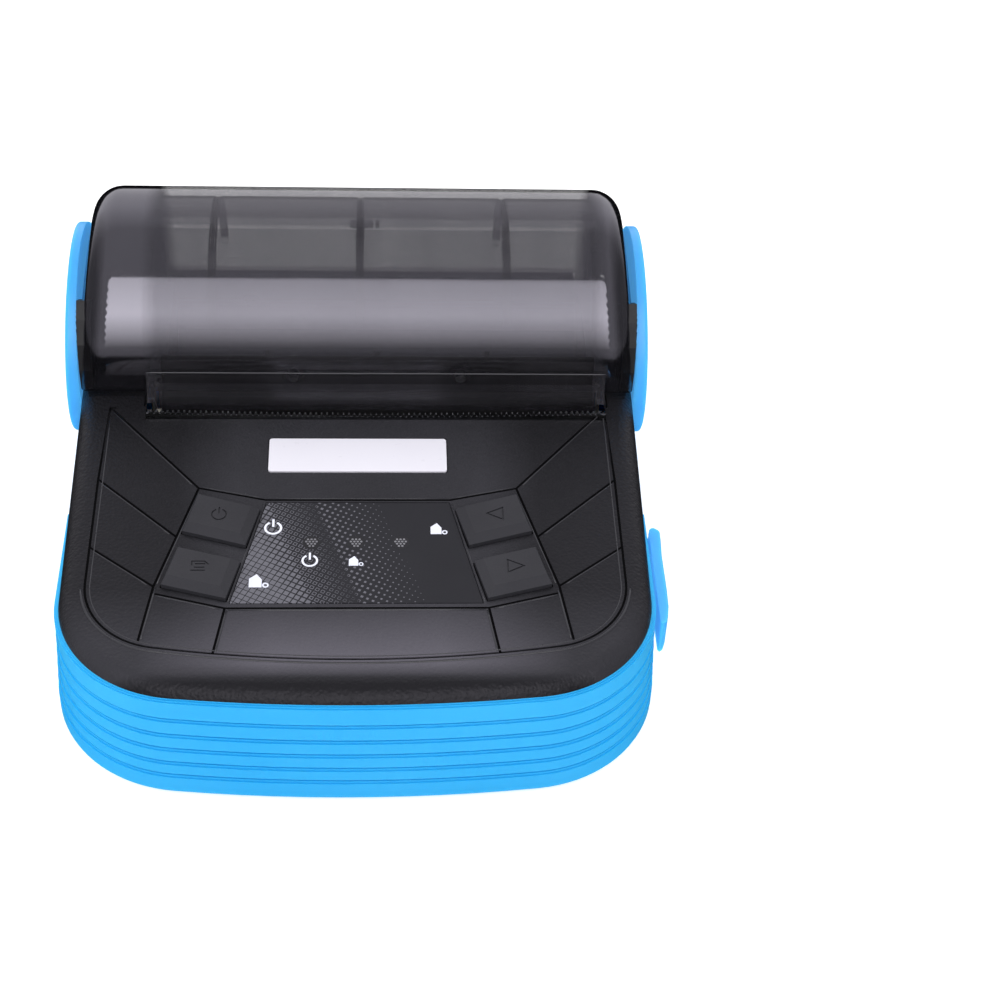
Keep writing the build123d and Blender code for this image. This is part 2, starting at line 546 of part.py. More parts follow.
# ---------------------------------------------- 5  front bar that holds the platen
ARM_L, ARM_R = (-36.3, -35.0), (42.3, 43.6)
bar = box(ARM_L[0], ARM_R[1], 12.6, 18.6, 23.2, 26.4)
bar += box(ARM_L[0], ARM_R[1], 14.9, 18.6, 26.4, 28.1)
bar += box(ARM_L[0], ARM_R[1], 16.6, 18.2, 28.0, 33.6)
for x0 in (-20.3, 0.0, 20.3):
    bar += box(3.4 + x0 - 0.5, 3.4 + x0 + 0.5, 16.6, 20.4, 24.0, 33.0)
for (x0, x1) in (ARM_L, ARM_R):
    bar += box(x0, x1, 11.6, 17.0, 17.9, 23.4)
    bar += cyl_x(PLATEN_Y, PLATEN_Z, 2.7, x0, x1)
    bar -= cyl_x(PLATEN_Y, PLATEN_Z, 1.55, x0 - 1, x1 + 1)
for (bx, bz) in BAR_SCREWS:
    bar -= cyl_y(bx, bz, 0.95, 14.9, 20.0)
bar = one(bar)
BAR_SCREW = Rot(-90, 0, 0) * screw(1.8, 1.1, 0.95, 3.4)
bar_screws = [Pos(bx, 18.2, bz) * BAR_SCREW for (bx, bz) in BAR_SCREWS]

# ------------------------------------------------------------ 6  platen roller
SHAFT_R = 1.5
roller = cyl_x(PLATEN_Y, PLATEN_Z, PLATEN_R, -34.8, 42.1) - cyl_x(PLATEN_Y, PLATEN_Z, SHAFT_R, -36, 44)
shaft = cyl_x(PLATEN_Y, PLATEN_Z, SHAFT_R, -38.95, 45.65)
bushes = []
for (x0, x1) in ((-38.85, -37.95), (44.6, 45.55)):
    b = cyl_x(PLATEN_Y, PLATEN_Z, 2.9, x0, x1) - cyl_x(PLATEN_Y, PLATEN_Z, SHAFT_R + 0.05, x0 - 1, x1 + 1)
    bushes.append(b)

# ----------------------------------------------------------------- 7  gears
TH_P2 = math.atan2(G2_Z - PLATEN_Z, G2_Y - PLATEN_Y)
TH_21 = math.atan2(G1_Z - G2_Z, G1_Y - G2_Y)
TH_1M = math.atan2(MOT_Z - G1_Z, MOT_Y - G1_Y)
PH_PLATEN = 0.0
PH_SMALL2 = mesh_phase(N_PLATEN, PH_PLATEN, N_SMALL2, TH_P2)
PH_BIG2 = 0.0
PH_SMALL1 = mesh_phase(N_BIG2, PH_BIG2, N_SMALL1, TH_21)
PH_BIG1 = 0.0
PH_PINION = mesh_phase(N_BIG1, PH_BIG1, N_PINION, TH_1M)

platen_gear = gear_x(N_PLATEN, PH_PLATEN, PLATEN_Y, PLATEN_Z, -37.75, -36.5)
platen_gear -= cyl_x(PLATEN_Y, PLATEN_Z, SHAFT_R, -40, -35)

# second stage: the small wheel meshes with the platen gear inside the side
# plate, the large one lies outside it
stage2 = gear_x(N_SMALL2, PH_SMALL2, G2_Y, G2_Z, -37.75, -36.5)
stage2 += cyl_x(G2_Y, G2_Z, 2.3, -39.4, -37.7)
stage2 += gear_x(N_BIG2, PH_BIG2, G2_Y, G2_Z, -40.9, -39.3)
stage2 -= cyl_x(G2_Y, G2_Z, 1.05, -44, -35)
# first stage: small wheel in the plane of the large one above, large wheel outside
stage1 = gear_x(N_SMALL1, PH_SMALL1, G1_Y, G1_Z, -41.3, -39.3)
stage1 += gear_x(N_BIG1, PH_BIG1, G1_Y, G1_Z, -42.8, -41.2)
stage1 -= cyl_x(G1_Y, G1_Z, 1.05, -46, -35)
pinion = gear_x(N_PINION, PH_PINION, MOT_Y, MOT_Z, -42.8, -41.2) - cyl_x(MOT_Y, MOT_Z, 0.75, -46, -35)
motor_shaft = cyl_x(MOT_Y, MOT_Z, 0.75, -43.0, -36.4)
gear_posts = [cyl_x(G2_Y, G2_Z, 1.0, -41.2, -35.6), cyl_x(G1_Y, G1_Z, 1.0, -43.2, -38.7)]

# ------------------------------------------------------ 8  mechanism frame
PL_L, PL_R = (-38.7, -38.0), (44.7, 45.4)
PLATE_OUT = [(-12.0, 4.0), (19.5, 4.0), (19.5, 12.0), (18.6, 26.6), (10.2, 26.6), (9.4, 22.8), (5.0, 22.0), (-12.0, 21.0)]
PLATE_OUT_R = [(0.0, 4.0), (19.5, 4.0), (19.5, 12.0), (18.6, 26.6), (10.2, 26.6), (9.4, 22.8), (5.0, 22.0), (0.0, 21.0)]
frame = prism_x(PLATE_OUT, *PL_L) + prism_x(PLATE_OUT_R, *PL_R)
frame += box(PL_L[0], PL_R[1], 1.0, 18.0, 4.0, 4.8)
frame += box(-20.0, PL_R[1], 1.0, 1.8, 4.0, 20.0)
for (x0, x1) in (PL_L, PL_R):
    frame -= cyl_x(PLATEN_Y, PLATEN_Z, 3.15, x0 - 1, x1 + 1)
    frame -= box(x0 - 1, x1 + 1, 10.9, 17.5, PLATEN_Z, 30)
frame -= cyl_x(G2_Y, G2_Z, 2.6, -40, -37)
frame -= box(-38.2, -36.2, 8.0, 19.0, 3.0, 5.2)
frame -= box(-39.5, -38.0, 8.0, 19.6, 3.0, 4.4)
frame -= cyl_x(MOT_Y, MOT_Z, 1.6, -40, -37)
frame += cyl_x(G1_Y, G1_Z, 1.6, -38.7, -38.0)
frame -= cyl_x(G1_Y, G1_Z, 1.0, -41, -37)
for x0, x1 in (PL_L, PL_R):
    frame -= cyl_x(HEAD_PIVOT_Y, HEAD_PIVOT_Z, 1.0, x0 - 1, x1 + 1)
for (mx, my) in MECH_SCREWS:
    frame -= cyl_z(mx, my, 0.95, 3, 6)
# a short inner tab carries the post of the second stage
frame += box(-36.3, -35.6, 12.4, 17.6, 4.8, 12.8) + box(-36.3, -35.6, 12.4, 17.6, 4.0, 4.9)
frame -= cyl_x(G2_Y, G2_Z, 1.0, -37, -35)
frame = one(frame)
MECH_SCREW = screw(2.0, 1.1, 0.95, 2.9)
mech_screws = [Pos(mx, my, 4.8) * MECH_SCREW for (mx, my) in MECH_SCREWS]

# ------------------------------------------------------------- 9  print head
heatsink = box(-34.6, 41.9, 7.0, 8.9, 8.9, 22.4)
for i in range(18):
    fx = -31.0 + i * 4.1
    heatsink -= box(fx, fx + 1.6, 6.5, 7.7, 14.0, 23)
heatsink += box(-34.6, 41.9, 6.4, 9.4, 8.7, 12.0)
heatsink -= cyl_x(HEAD_PIVOT_Y, HEAD_PIVOT_Z, 1.05, -40, 50)
heatsink = one(heatsink)
ceramic = box(-34.0, 41.3, 8.9, 9.9, 12.4, 22.2)
ceramic += prism_x([(9.9, 17.2), (9.97, 17.5), (10.0, 18.0), (9.97, 18.5), (9.9, 18.8)], -33.0, 40.3)
ceramic = one(ceramic)
head_rod = cyl_x(HEAD_PIVOT_Y, HEAD_PIVOT_Z, 1.0, -39.0, 45.8)


def spring(x, z, y0, y1, r, wire, turns):
    pitch = (y1 - y0 - wire) / turns
    path = Helix(pitch=pitch, height=y1 - y0 - wire, radius=r)
    prof = Plane(origin=path @ 0, z_dir=path % 0) * Circle(wire / 2)
    s = sweep(prof, path=path)
    s = Rot(-90, 0, 0) * s
    return Pos(x, y0 + wire / 2, z) * s


head_springs = [spring(x, 17.5, 1.82, 6.98, 1.9, 0.45, 4) for x in (-13.4, 20.6)]
spring_pegs = [cyl_y(x, 17.5, 1.3, 1.75, 3.0) for x in (-13.4, 20.6)]
for p in spring_pegs:
    frame += p
frame = one(frame)

# ---------------------------------------------------------- 10  stepper motor
motor = cyl_x(MOT_Y, MOT_Z, MOTOR_R, -36.9, -22.0)
motor += box(-38.0, -36.9, MOT_Y - 3.2, MOT_Y + 3.2, MOT_Z - 7.4, MOT_Z + 7.4) & cyl_x(MOT_Y, MOT_Z, 7.4, -39, -36)
motor += cyl_x(MOT_Y, MOT_Z, 2.2, -22.0, -21.2)
motor += box(-30.0, -24.5, MOT_Y - 8.7, MOT_Y - 6.5, MOT_Z - 3.0, MOT_Z + 3.0)
motor -= cyl_x(MOT_Y, MOT_Z, 0.8, -39, -36.2)
motor = one(motor)

# ----------------------------------------------------------------- 11  tear bar
TEAR_N = 83
TEAR_X0 = -38.3
pts = [(SLOT_X0 + 0.1, 24.2), (SLOT_X0 + 0.1, 27.4)]
for i in range(TEAR_N):
    xa = TEAR_X0 + i * 1.0
    mid = xa + 0.5
    t = (mid - 3.4) / 42.0
    root = 27.05 + 0.75 * t * t
    pts += [(xa + 0.04, root), (xa + 0.42, root + 0.72), (xa + 0.58, root + 0.72), (xa + 0.96, root)]
pts += [(SLOT_X1 - 0.1, 27.8), (SLOT_X1 - 0.1, 24.2)]
pts[1] = (SLOT_X0 + 0.1, 27.8)
tear_bar = prism_y(pts, SLOT_Y + 1.0, SLOT_Y + 1.45)
tear_bar = one(tear_bar)

# ------------------------------------------------------------- 12  paper bay
bowl_out = BIN_R + BIN_T
a0, a1 = 229.0, 323.5
prof_bin = arc_pts(BIN_Y, BIN_Z, BIN_R, a0, a1, 20)
prof_out = arc_pts(BIN_Y, BIN_Z, bowl_out, a1, a0, 20)
y_r = prof_bin[-1][0]
z_r = prof_bin[-1][1]
bin_ = prism_x(prof_bin + prof_out, BIN_X0 - BIN_T, BIN_X1 + BIN_T)
# rear shelf
bin_ += box(BIN_X0 - BIN_T, BIN_X1 + BIN_T, y_r - 0.2, 55.6, 16.0, 17.4)
bin_ += box(BIN_X0 - BIN_T, BIN_X1 + BIN_T, y_r - 0.05, y_r + 1.3, 16.0, 19.2)
# side walls
side_pts = [(21.6, 14.8)] + arc_pts(BIN_Y, BIN_Z, bowl_out - 0.1, a0, a1, 20) + [(y_r + 1.2, 19.2), (51.0, 25.2), (21.6, 25.2)]
for (x0, x1) in ((BIN_X0 - BIN_T, BIN_X0), (BIN_X1, BIN_X1 + BIN_T)):
    bin_ += prism_x(side_pts, x0, x1)
# flanges that cover the spaces beside the bay
bin_ += box(-48.6, BIN_X0 - BIN_T + 0.2, 15.2, 50.6, 23.6, 24.8)
bin_ += box(BIN_X1 + BIN_T - 0.2, 48.8, 15.2, 50.6, 23.6, 24.8)
bin_ -= box(-39.4, BIN_X0 + 0.6, 10.0, 21.0, 20.0, 27.0)
bin_ -= box(44.3, 46.0, 10.0, 20.2, 20.0, 27.0)
# guide ribs down the rear of the bowl
for rx in (-26.6, 0.2, 27.0):
    bin_ += prism_x(arc_pts(BIN_Y, BIN_Z, BIN_R - 0.45, 285, a1 - 1, 12) + arc_pts(BIN_Y, BIN_Z, BIN_R + 0.6, a1 - 1, 285, 12), rx - 0.6, rx + 0.6)
# room for the small wheel of the second stage
bin_ -= cyl_x(G2_Y, G2_Z, 5.0, -39.0, BIN_X0 + 0.1)
for (px, py) in BIN_SCREWS:
    bin_ -= cyl_z(px, py, 0.95, 15, 18)
    bin_ -= cyl_z(px, py, 2.05, 17.4, 20)
bin_ = one(bin_)
BIN_SCREW = screw(1.9, 1.1, 0.95, 6.0)
bin_screws = [Pos(px, py, 17.4) * BIN_SCREW for (px, py) in BIN_SCREWS]

# --------------------------------------------------------- 13  paper sensor
sensor = box(0.4, 6.4, 11.4, 15.6, 4.8, 9.4) + box(1.2, 5.6, 11.9, 15.1, 9.4, 10.6)
sensor -= cyl_z(2.4, 13.5, 0.7, 10.0, 11) + cyl_z(4.4, 13.5, 0.7, 10.0, 11)

# ------------------------------------------------------------------ 14  board
board = slab(plan(BASE_HALF, BASE_HALF, BASE_FRONT, BASE_REAR, BASE_BOW, BASE_CORNER, REAR_CORNER, 3.4), BOARD_Z, BOARD_Z + BOARD_T)
board = board & box(-46.0, 46.4, -60, -13.4, 0, 60)
for (sx, sy) in CASE_SCREWS[:2]:
    board -= cyl_z(sx, sy, 3.6, 0, 60)
    board -= box(min(sx, sx * 1.4), max(sx, sx * 1.4), -70, sy + 3.6, 0, 60)
for (sx, sy) in BOARD_SCREWS:
    board -= cyl_z(sx, sy, 0.95, 0, 60)
board = one(board)
BOARD_SCREW = Rot(180, 0, 0) * screw(1.8, 1.0, 0.95, 3.2)
board_screws = [Pos(sx, sy, BOARD_Z) * BOARD_SCREW for (sx, sy) in BOARD_SCREWS]

BZ = BOARD_Z + BOARD_T
chips = [box(-6, 6, -44.0, -34.0, BZ, BZ + 1.4), box(12.0, 18.0, -47.5, -42.5, BZ, BZ + 1.1),
         box(-17.0, -11.0, -47.0, -42.0, BZ, BZ + 1.1), box(22.0, 26.0, -45.0, -41.5, BZ, BZ + 1.0)]
radio = box(-12.0, 4.0, -20.6, -14.2, BZ, BZ + 1.8) - box(-12.5, 4.5, -15.4, -14.0, BZ + 0.7, BZ + 3)
buzzer = cyl_z(13.4, -30.5, 4.0, BZ, BZ + 2.2) - cyl_z(13.4, -30.5, 0.8, BZ + 1.2, BZ + 3)
leds = [box(lx - 1.2, lx + 1.2, LED_Y - 0.7, LED_Y + 0.7, BZ, BZ + 0.9) for lx in LED_X]
usb = box(43.9, 51.2, USB_Y - 4.5, USB_Y + 4.5, USB_Z - 1.6, BOARD_Z)
usb_void = Plane(origin=(45.0, USB_Y, USB_Z), x_dir=(0, 1, 0), z_dir=(1, 0, 0)) * RectangleRounded(8.3, 2.5, 1.2)
usb -= extrude(usb_void, 10)
usb += box(44.5, 50.2, USB_Y - 3.3, USB_Y + 3.3, USB_Z - 0.35, USB_Z + 0.35)
usb = one(usb)


def quad_centre(q):
    return (sum(p[0] for p in q) / 4, sum(p[1] for p in q) / 4)


switches = []
for key, q in KEYS.items():
    cx, cy = quad_centre(q)
    switches.append(box(cx - 3, cx + 3, cy - 3, cy + 3, BZ, BZ + 1.7) + cyl_z(cx, cy, 1.7, BZ + 1.6, BZ + 2.3))

# -------------------------------------------------------------------- 15  keys


def key_cap(q):
    pts = [pv(p) for p in q]
    base_face = face_of(pts)
    body = on_panel(base_face, -2.3, KEY_RISE)
    # bevelled crown: wide bevels at the front and at the inner side
    outer_p, rear_o, rear_i, front_i = pts      # front-outer, rear-outer, rear-inner, front-inner

    def toward(a, b, d):
        L = math.hypot(b[0] - a[0], b[1] - a[1])
        return ((b[0] - a[0]) / L * d, (b[1] - a[1]) / L * d)

    def inset(pt, along, da, across, dc):
        u = toward(pt, along, da)
        v = toward(pt, across, dc)
        return (pt[0] + u[0] + v[0], pt[1] + u[1] + v[1])

    fo = inset(outer_p, front_i, 0.35, rear_o, 1.9)
    ro = inset(rear_o, rear_i, 0.35, outer_p, 0.3)
    ri = inset(rear_i, rear_o, 1.55, front_i, 0.3)
    fi = inset(front_i, outer_p, 1.55, rear_i, 1.9)
    lo = Plane(origin=PANEL.origin + PANEL.z_dir * KEY_RISE, x_dir=PANEL.x_dir, z_dir=PANEL.z_dir) * face_of(pts)
    hi = Plane(origin=PANEL.origin + PANEL.z_dir * KEY_TOP, x_dir=PANEL.x_dir, z_dir=PANEL.z_dir) * face_of([fo, ro, ri, fi])
    crown = loft([lo.faces()[0], hi.faces()[0]], ruled=True)
    flange = on_panel(offset(base_face, 0.9), -2.95, -2.1)
    cx, cy = quad_centre(q)
    cap = body + crown + flange
    stem = cyl_z(cx, cy, 1.6, BZ + 2.3 + KEY_TRAVEL + 0.1, panel_z(cy) - 2.4)
    cap += stem
    return cap, (fo, ro, ri, fi)


caps = {}
crowns = {}
for key, q in KEYS.items():
    caps[key], crowns[key] = key_cap(q)


def crown_xy(q):
    cx = sum(p[0] for p in q) / 4
    cy = sum(p[1] for p in q) / 4
    return cx, cy


def engrave(cap, sk):
    return cap - on_panel(sk, KEY_TOP - 0.22, KEY_TOP + 1)


def ring_sketch(cx, cy, r, w):
    return Pos(cx, cy) * (Circle(r + w / 2) - Circle(r - w / 2))


def bar_sketch(p, q, w):
    L = math.hypot(q[0] - p[0], q[1] - p[1])
    a = math.degrees(math.atan2(q[1] - p[1], q[0] - p[0]))
    return Pos((p[0] + q[0]) / 2, (p[1] + q[1]) / 2) * Rot(0, 0, a) * Rectangle(L + w * 0.6, w)


# on / off sign
cx, cy = crown_xy(crowns[("left", "up")])
sk = ring_sketch(cx, cy - 0.2, 1.25, 0.26) - Pos(cx, cy + 1.2) * Rectangle(1.1, 1.2)
caps[("left", "up")] = engrave(caps[("left", "up")], sk)
caps[("left", "up")] = engrave(caps[("left", "up")], bar_sketch((cx, cy + 0.1), (cx, cy + 1.5), 0.26))
# paper feed sign: a page outline over two lines
cx, cy = crown_xy(crowns[("left", "low")])
for p, q in [((-1.2, 1.2), (0.9, 1.2)), ((0.9, 1.2), (1.6, 0.5)), ((-1.2, 1.2), (-1.2, 0.3)), ((-0.6, 0.6), (1.0, 0.6)),
             ((-0.7, -0.2), (0.9, -0.2)), ((-1.3, -0.9), (1.0, -0.9))]:
    caps[("left", "low")] = engrave(caps[("left", "low")], bar_sketch((cx + p[0], cy + p[1]), (cx + q[0], cy + q[1]), 0.24))
# triangles
for nm, d in (("up", -1), ("low", 1)):
    cx, cy = crown_xy(crowns[("right", nm)])
    tri = [(cx - d * 1.35, cy + 1.7), (cx + d * 1.85, cy + 0.1), (cx - d * 1.35, cy - 1.6)]
    t_out = face_of(tri)
    t_in = offset(t_out, -0.26, kind=Kind.INTERSECTION)
    caps[("right", nm)] = engrave(caps[("right", nm)], t_out - t_in)

# --------------------------------------------------- 16  overlay and name plate
overlay = on_panel(face_of([pv(p) for p in OVERLAY]), -0.33, 0.0)
plate = on_panel(Pos(*plate_c) * RectangleRounded(plate_w, plate_h, 0.55), -0.28, 0.12)
guides = []
for lx in LED_X:
    g = on_panel(Pos(*pv((lx, LED_Y))) * Circle(1.6), -2.6, -0.36)
    g += on_panel(Pos(*pv((lx, LED_Y))) * Circle(2.2), -2.6, -2.02)
    g += cyl_z(lx, LED_Y, 1.2, BZ + 1.1, panel_z(LED_Y) - 2.4)
    guides.append(one(g))

# ------------------------------------------------------------------ 17  battery
bx0, bx1, by0, by1, bz0, bz1 = BAT
battery = box(bx0, bx1, by0, by1, bz0, bz1)
battery = fillet(battery.edges().filter_by(Axis.X), 3.0)
battery = one(battery)
door = box(dx0, dx1, dy0, dy1, FLOOR_Z, FLOOR_Z + 1.5)
for sx in DOOR_LUGS:
    door -= box(sx - 3.7, sx + 3.7, dy1 - 1.0, dy1 + 1, -1, 5)
    door += cyl_x(DOOR_AX_Y, DOOR_AX_Z, 0.75, sx - 1.8, sx + 1.8)
    door += box(sx - 1.8, sx + 1.8, dy1 - 1.4, DOOR_AX_Y, DOOR_AX_Z - 0.65, DOOR_AX_Z + 0.65)
    door += cyl_x(DOOR_AX_Y, DOOR_AX_Z, 0.5, sx - 2.7, sx + 2.7)
door -= cyl_x(dy0 + 3.0, FLOOR_Z - 1.7, 2.5, -6.0, 6.0)
door = one(door)
contacts = []
for cx in (-6.0, 0.0, 6.0):
    contacts.append(box(cx - 1.0, cx + 1.0, by1 + 0.0, by1 + 1.6, 9.0, 13.0))
contact_block = box(-9.5, 9.5, dy1 + 1.65, dy1 + 4.0, 7.5, 17.0)
base -= box(-9.5, 9.5, dy1 - 0.5, dy1 + 1.7, 7.5, 17.6)
base = one(base)
contact_block += box(-9.4, 9.4, by1 + 0.6, dy1 + 1.7, 7.6, 17.0)
for cx in (-6.0, 0.0, 6.0):
    contact_block -= box(cx - 1.0, cx + 1.0, by1 - 1.0, by1 + 1.6, 9.0, 13.0)
contact_block = one(contact_block)

# --------------------------------------------------------------- 18  port cover
flap_end = [(FLAP_AX_X - 1.02 * math.cos(math.radians(a)), FLAP_AX_Y + 1.02 * math.sin(math.radians(a))) for a in range(0, 181, 15)]
flap_pts = flap_end + [(53.98, -17.0), (53.8, -20.5), (53.85, -29.0), (53.75, -33.0), (53.4, -35.6), (52.9, -37.0), (52.3, -37.5), (51.98, -37.0)]
flap = prism_z(flap_pts, 13.2, 20.4)
long_e = [e for e in flap.edges() if abs(e.center().Z - 20.4) < 0.01 or abs(e.center().Z - 13.2) < 0.01]
long_e = [e for e in long_e if e.center().X > 53.4]
flap = fillet(long_e, 0.5)
plug = Plane(origin=(51.28, USB_Y, USB_Z), x_dir=(0, 1, 0), z_dir=(1, 0, 0)) * RectangleRounded(9.2, 3.4, 1.4)
flap += extrude(plug, 1.2)
flap -= box(51, 54.5, FLAP_AX_Y - 0.85, FLAP_AX_Y + 1.2, 15.1, 18.3)
flap -= cyl_z(FLAP_AX_X, FLAP_AX_Y, 0.34, 13.7, 19.9)
flap_pin = cyl_z(FLAP_AX_X, FLAP_AX_Y, 0.3, 13.8, 19.8)
flap = one(flap)

# ------------------------------------------------------------ 19  small hardware
hinge_pins = [cyl_x(HINGE_Y, HINGE_Z, 0.9, -50.0, -40.2), cyl_x(HINGE_Y, HINGE_Z, 0.9, 40.2, 50.0)]
CASE_SCREW = Rot(180, 0, 0) * screw(2.2, 1.6, 1.1, 7.2)
case_screws = [Pos(sx, sy, 4.2) * CASE_SCREW for (sx, sy) in CASE_SCREWS]
feet = []
for (fx, fy) in FEET:
    f = cyl_z(fx, fy, 4.0, 0.0, 1.7)
    low = f.edges().group_by(Axis.Z)[0]
    feet.append(fillet(low, 0.5))

# ---------------------------------------------------------------------- output
write("bottom_case", base)
write("top_housing", top)
write("left_side_cap", left_cap)
write("right_side_cap", right_cap)
write("paper_bay", bin_)
write("paper_cover", cover)
write("platen_holder", bar)
write("platen_holder_screws", *bar_screws)
write("cover_hinge_pins", *hinge_pins)
write("platen_roller", roller)
write("platen_shaft", shaft)
write("platen_bushes", *bushes)
write("platen_gear", platen_gear)
write("second_reduction_gear", stage2)
write("first_reduction_gear", stage1)
write("motor_pinion", pinion)
write("motor_shaft", motor_shaft)
write("stepper_motor", motor)
write("gear_posts", *gear_posts)
write("mechanism_frame", frame)
write("mechanism_screws", *mech_screws)
write("print_head_heatsink", heatsink)
write("print_head", ceramic)
write("head_pivot_rod", head_rod)
write("head_springs", *head_springs)
write("tear_bar", tear_bar)
write("paper_sensor", sensor)
write("main_board", board)
write("board_screws", *board_screws)
write("board_chips", *chips)
write("radio_module", radio)
write("buzzer", buzzer)
write("status_leds", *leds)
write("light_guides", *guides)
write("key_switches", *switches)
write("cable_socket", usb)
write("power_key", caps[("left", "up")])
write("feed_key", caps[("left", "low")])
write("left_arrow_key", caps[("right", "up")])
write("right_arrow_key", caps[("right", "low")])
write("panel_overlay", overlay)
write("name_plate", plate)
write("battery_pack", battery)
write("battery_door", door)
write("battery_contacts", *contacts)
write("contact_block", contact_block)
write("port_cover", flap)
write("port_cover_pin", flap_pin)
write("paper_bay_screws", *bin_screws)
write("case_screws", *case_screws)
write("rubber_feet", *feet)
print("cover gear centres", (G2_Y, G2_Z), (G1_Y, G1_Z), (MOT_Y, MOT_Z))
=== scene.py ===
import json
import math

import bmesh
import bpy
from mathutils import Matrix, Vector


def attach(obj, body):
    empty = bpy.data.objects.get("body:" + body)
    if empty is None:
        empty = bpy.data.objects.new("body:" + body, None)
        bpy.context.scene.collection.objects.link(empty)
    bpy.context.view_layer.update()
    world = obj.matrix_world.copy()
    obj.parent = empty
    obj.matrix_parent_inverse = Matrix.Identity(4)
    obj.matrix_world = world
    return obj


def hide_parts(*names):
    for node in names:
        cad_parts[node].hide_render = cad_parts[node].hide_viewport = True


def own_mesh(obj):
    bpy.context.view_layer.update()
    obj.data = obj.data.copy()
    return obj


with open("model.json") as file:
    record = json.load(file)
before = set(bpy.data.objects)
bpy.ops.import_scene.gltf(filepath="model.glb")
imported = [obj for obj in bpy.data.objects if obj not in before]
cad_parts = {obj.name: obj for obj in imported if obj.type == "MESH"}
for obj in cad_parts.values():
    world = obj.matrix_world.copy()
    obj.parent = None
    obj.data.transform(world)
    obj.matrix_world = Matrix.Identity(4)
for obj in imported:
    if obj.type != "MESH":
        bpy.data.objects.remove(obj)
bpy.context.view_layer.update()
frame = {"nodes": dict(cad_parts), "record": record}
NODES = frame["nodes"]
MM = 0.001


# ------------------------------------------------------------------ materials
def srgb(h):
    """Linear colour of an sRGB hex value."""
    v = [int(h[i:i + 2], 16) / 255 for i in (0, 2, 4)]
    return tuple(c / 12.92 if c <= 0.04045 else ((c + 0.055) / 1.055) ** 2.4 for c in v) + (1.0,)


class Mat:
    """A Principled material with small helpers for its nodes."""

    def __init__(self, name):
        self.m = bpy.data.materials.new(name)
        self.m.use_nodes = True
        self.nt = self.m.node_tree
        self.b = self.nt.nodes["Principled BSDF"]
        self.tc = self.nt.nodes.new("ShaderNodeTexCoord")
        self.bump = None

    def node(self, kind, **kw):
        n = self.nt.nodes.new(kind)
        for k, v in kw.items():
            setattr(n, k, v)
        return n

    def link(self, a, b):
        self.nt.links.new(a, b)

    def coords(self, scale=(1, 1, 1), rot=(0, 0, 0)):
        mp = self.node("ShaderNodeMapping")
        mp.inputs["Scale"].default_value = scale
        mp.inputs["Rotation"].default_value = rot
        self.link(self.tc.outputs["Object"], mp.inputs["Vector"])
        return mp.outputs["Vector"]

    def noise(self, scale, detail=3.0, rough=0.55, coords=None, dist=0.0):
        n = self.node("ShaderNodeTexNoise")
        n.inputs["Scale"].default_value = scale
        n.inputs["Detail"].default_value = detail
        n.inputs["Roughness"].default_value = rough
        n.inputs["Distortion"].default_value = dist
        self.link(coords or self.tc.outputs["Object"], n.inputs["Vector"])
        return n.outputs["Fac"]

    def voronoi(self, scale, feature="F1", coords=None, smooth=0.6, rand=1.0):
        n = self.node("ShaderNodeTexVoronoi", feature=feature)
        n.inputs["Scale"].default_value = scale
        n.inputs["Randomness"].default_value = rand
        if feature == "SMOOTH_F1":
            n.inputs["Smoothness"].default_value = smooth
        self.link(coords or self.tc.outputs["Object"], n.inputs["Vector"])
        return n.outputs["Distance"]

    def ramp(self, fac, stops):
        r = self.node("ShaderNodeValToRGB")
        e = r.color_ramp.elements
        while len(e) > 1:
            e.remove(e[-1])
        e[0].position, e[0].color = stops[0]
        for p, c in stops[1:]:
            x = e.new(p)
            x.color = c
        self.link(fac, r.inputs["Fac"])
        return r.outputs["Color"]

    def remap(self, fac, a, b, lo=0.0, hi=1.0):
        r = self.node("ShaderNodeMapRange")
        r.inputs["From Min"].default_value = lo
        r.inputs["From Max"].default_value = hi
        r.inputs["To Min"].default_value = a
        r.inputs["To Max"].default_value = b
        self.link(fac, r.inputs["Value"])
        return r.outputs["Result"]

    def math(self, op, a, b=None, clamp=False):
        n = self.node("ShaderNodeMath", operation=op, use_clamp=clamp)
        for i, v in enumerate((a, b)):
            if v is None:
                continue
            if isinstance(v, (int, float)):
                n.inputs[i].default_value = v
            else:
                self.link(v, n.inputs[i])
        return n.outputs[0]

    def mix(self, fac, a, b, blend="MIX"):
        n = self.node("ShaderNodeMix", data_type="RGBA", blend_type=blend)
        for sock, v in ((n.inputs[0], fac), (n.inputs[6], a), (n.inputs[7], b)):
            if isinstance(v, (int, float)):
                sock.default_value = v
            elif isinstance(v, tuple):
                sock.default_value = v
            else:
                self.link(v, sock)
        return n.outputs[2]

    def add_bump(self, height, strength, dist):
        n = self.node("ShaderNodeBump")
        n.inputs["Strength"].default_value = strength
        n.inputs["Distance"].default_value = dist
        self.link(height, n.inputs["Height"])
        if self.bump is not None:
            self.link(self.bump, n.inputs["Normal"])
        self.bump = n.outputs["Normal"]
        self.link(self.bump, self.b.inputs["Normal"])

    def set(self, **kw):
        for k, v in kw.items():
            sock = self.b.inputs[k.replace("_", " ")]
            if isinstance(v, (int, float, tuple)):
                sock.default_value = v
            else:
                self.link(v, sock)
        return self


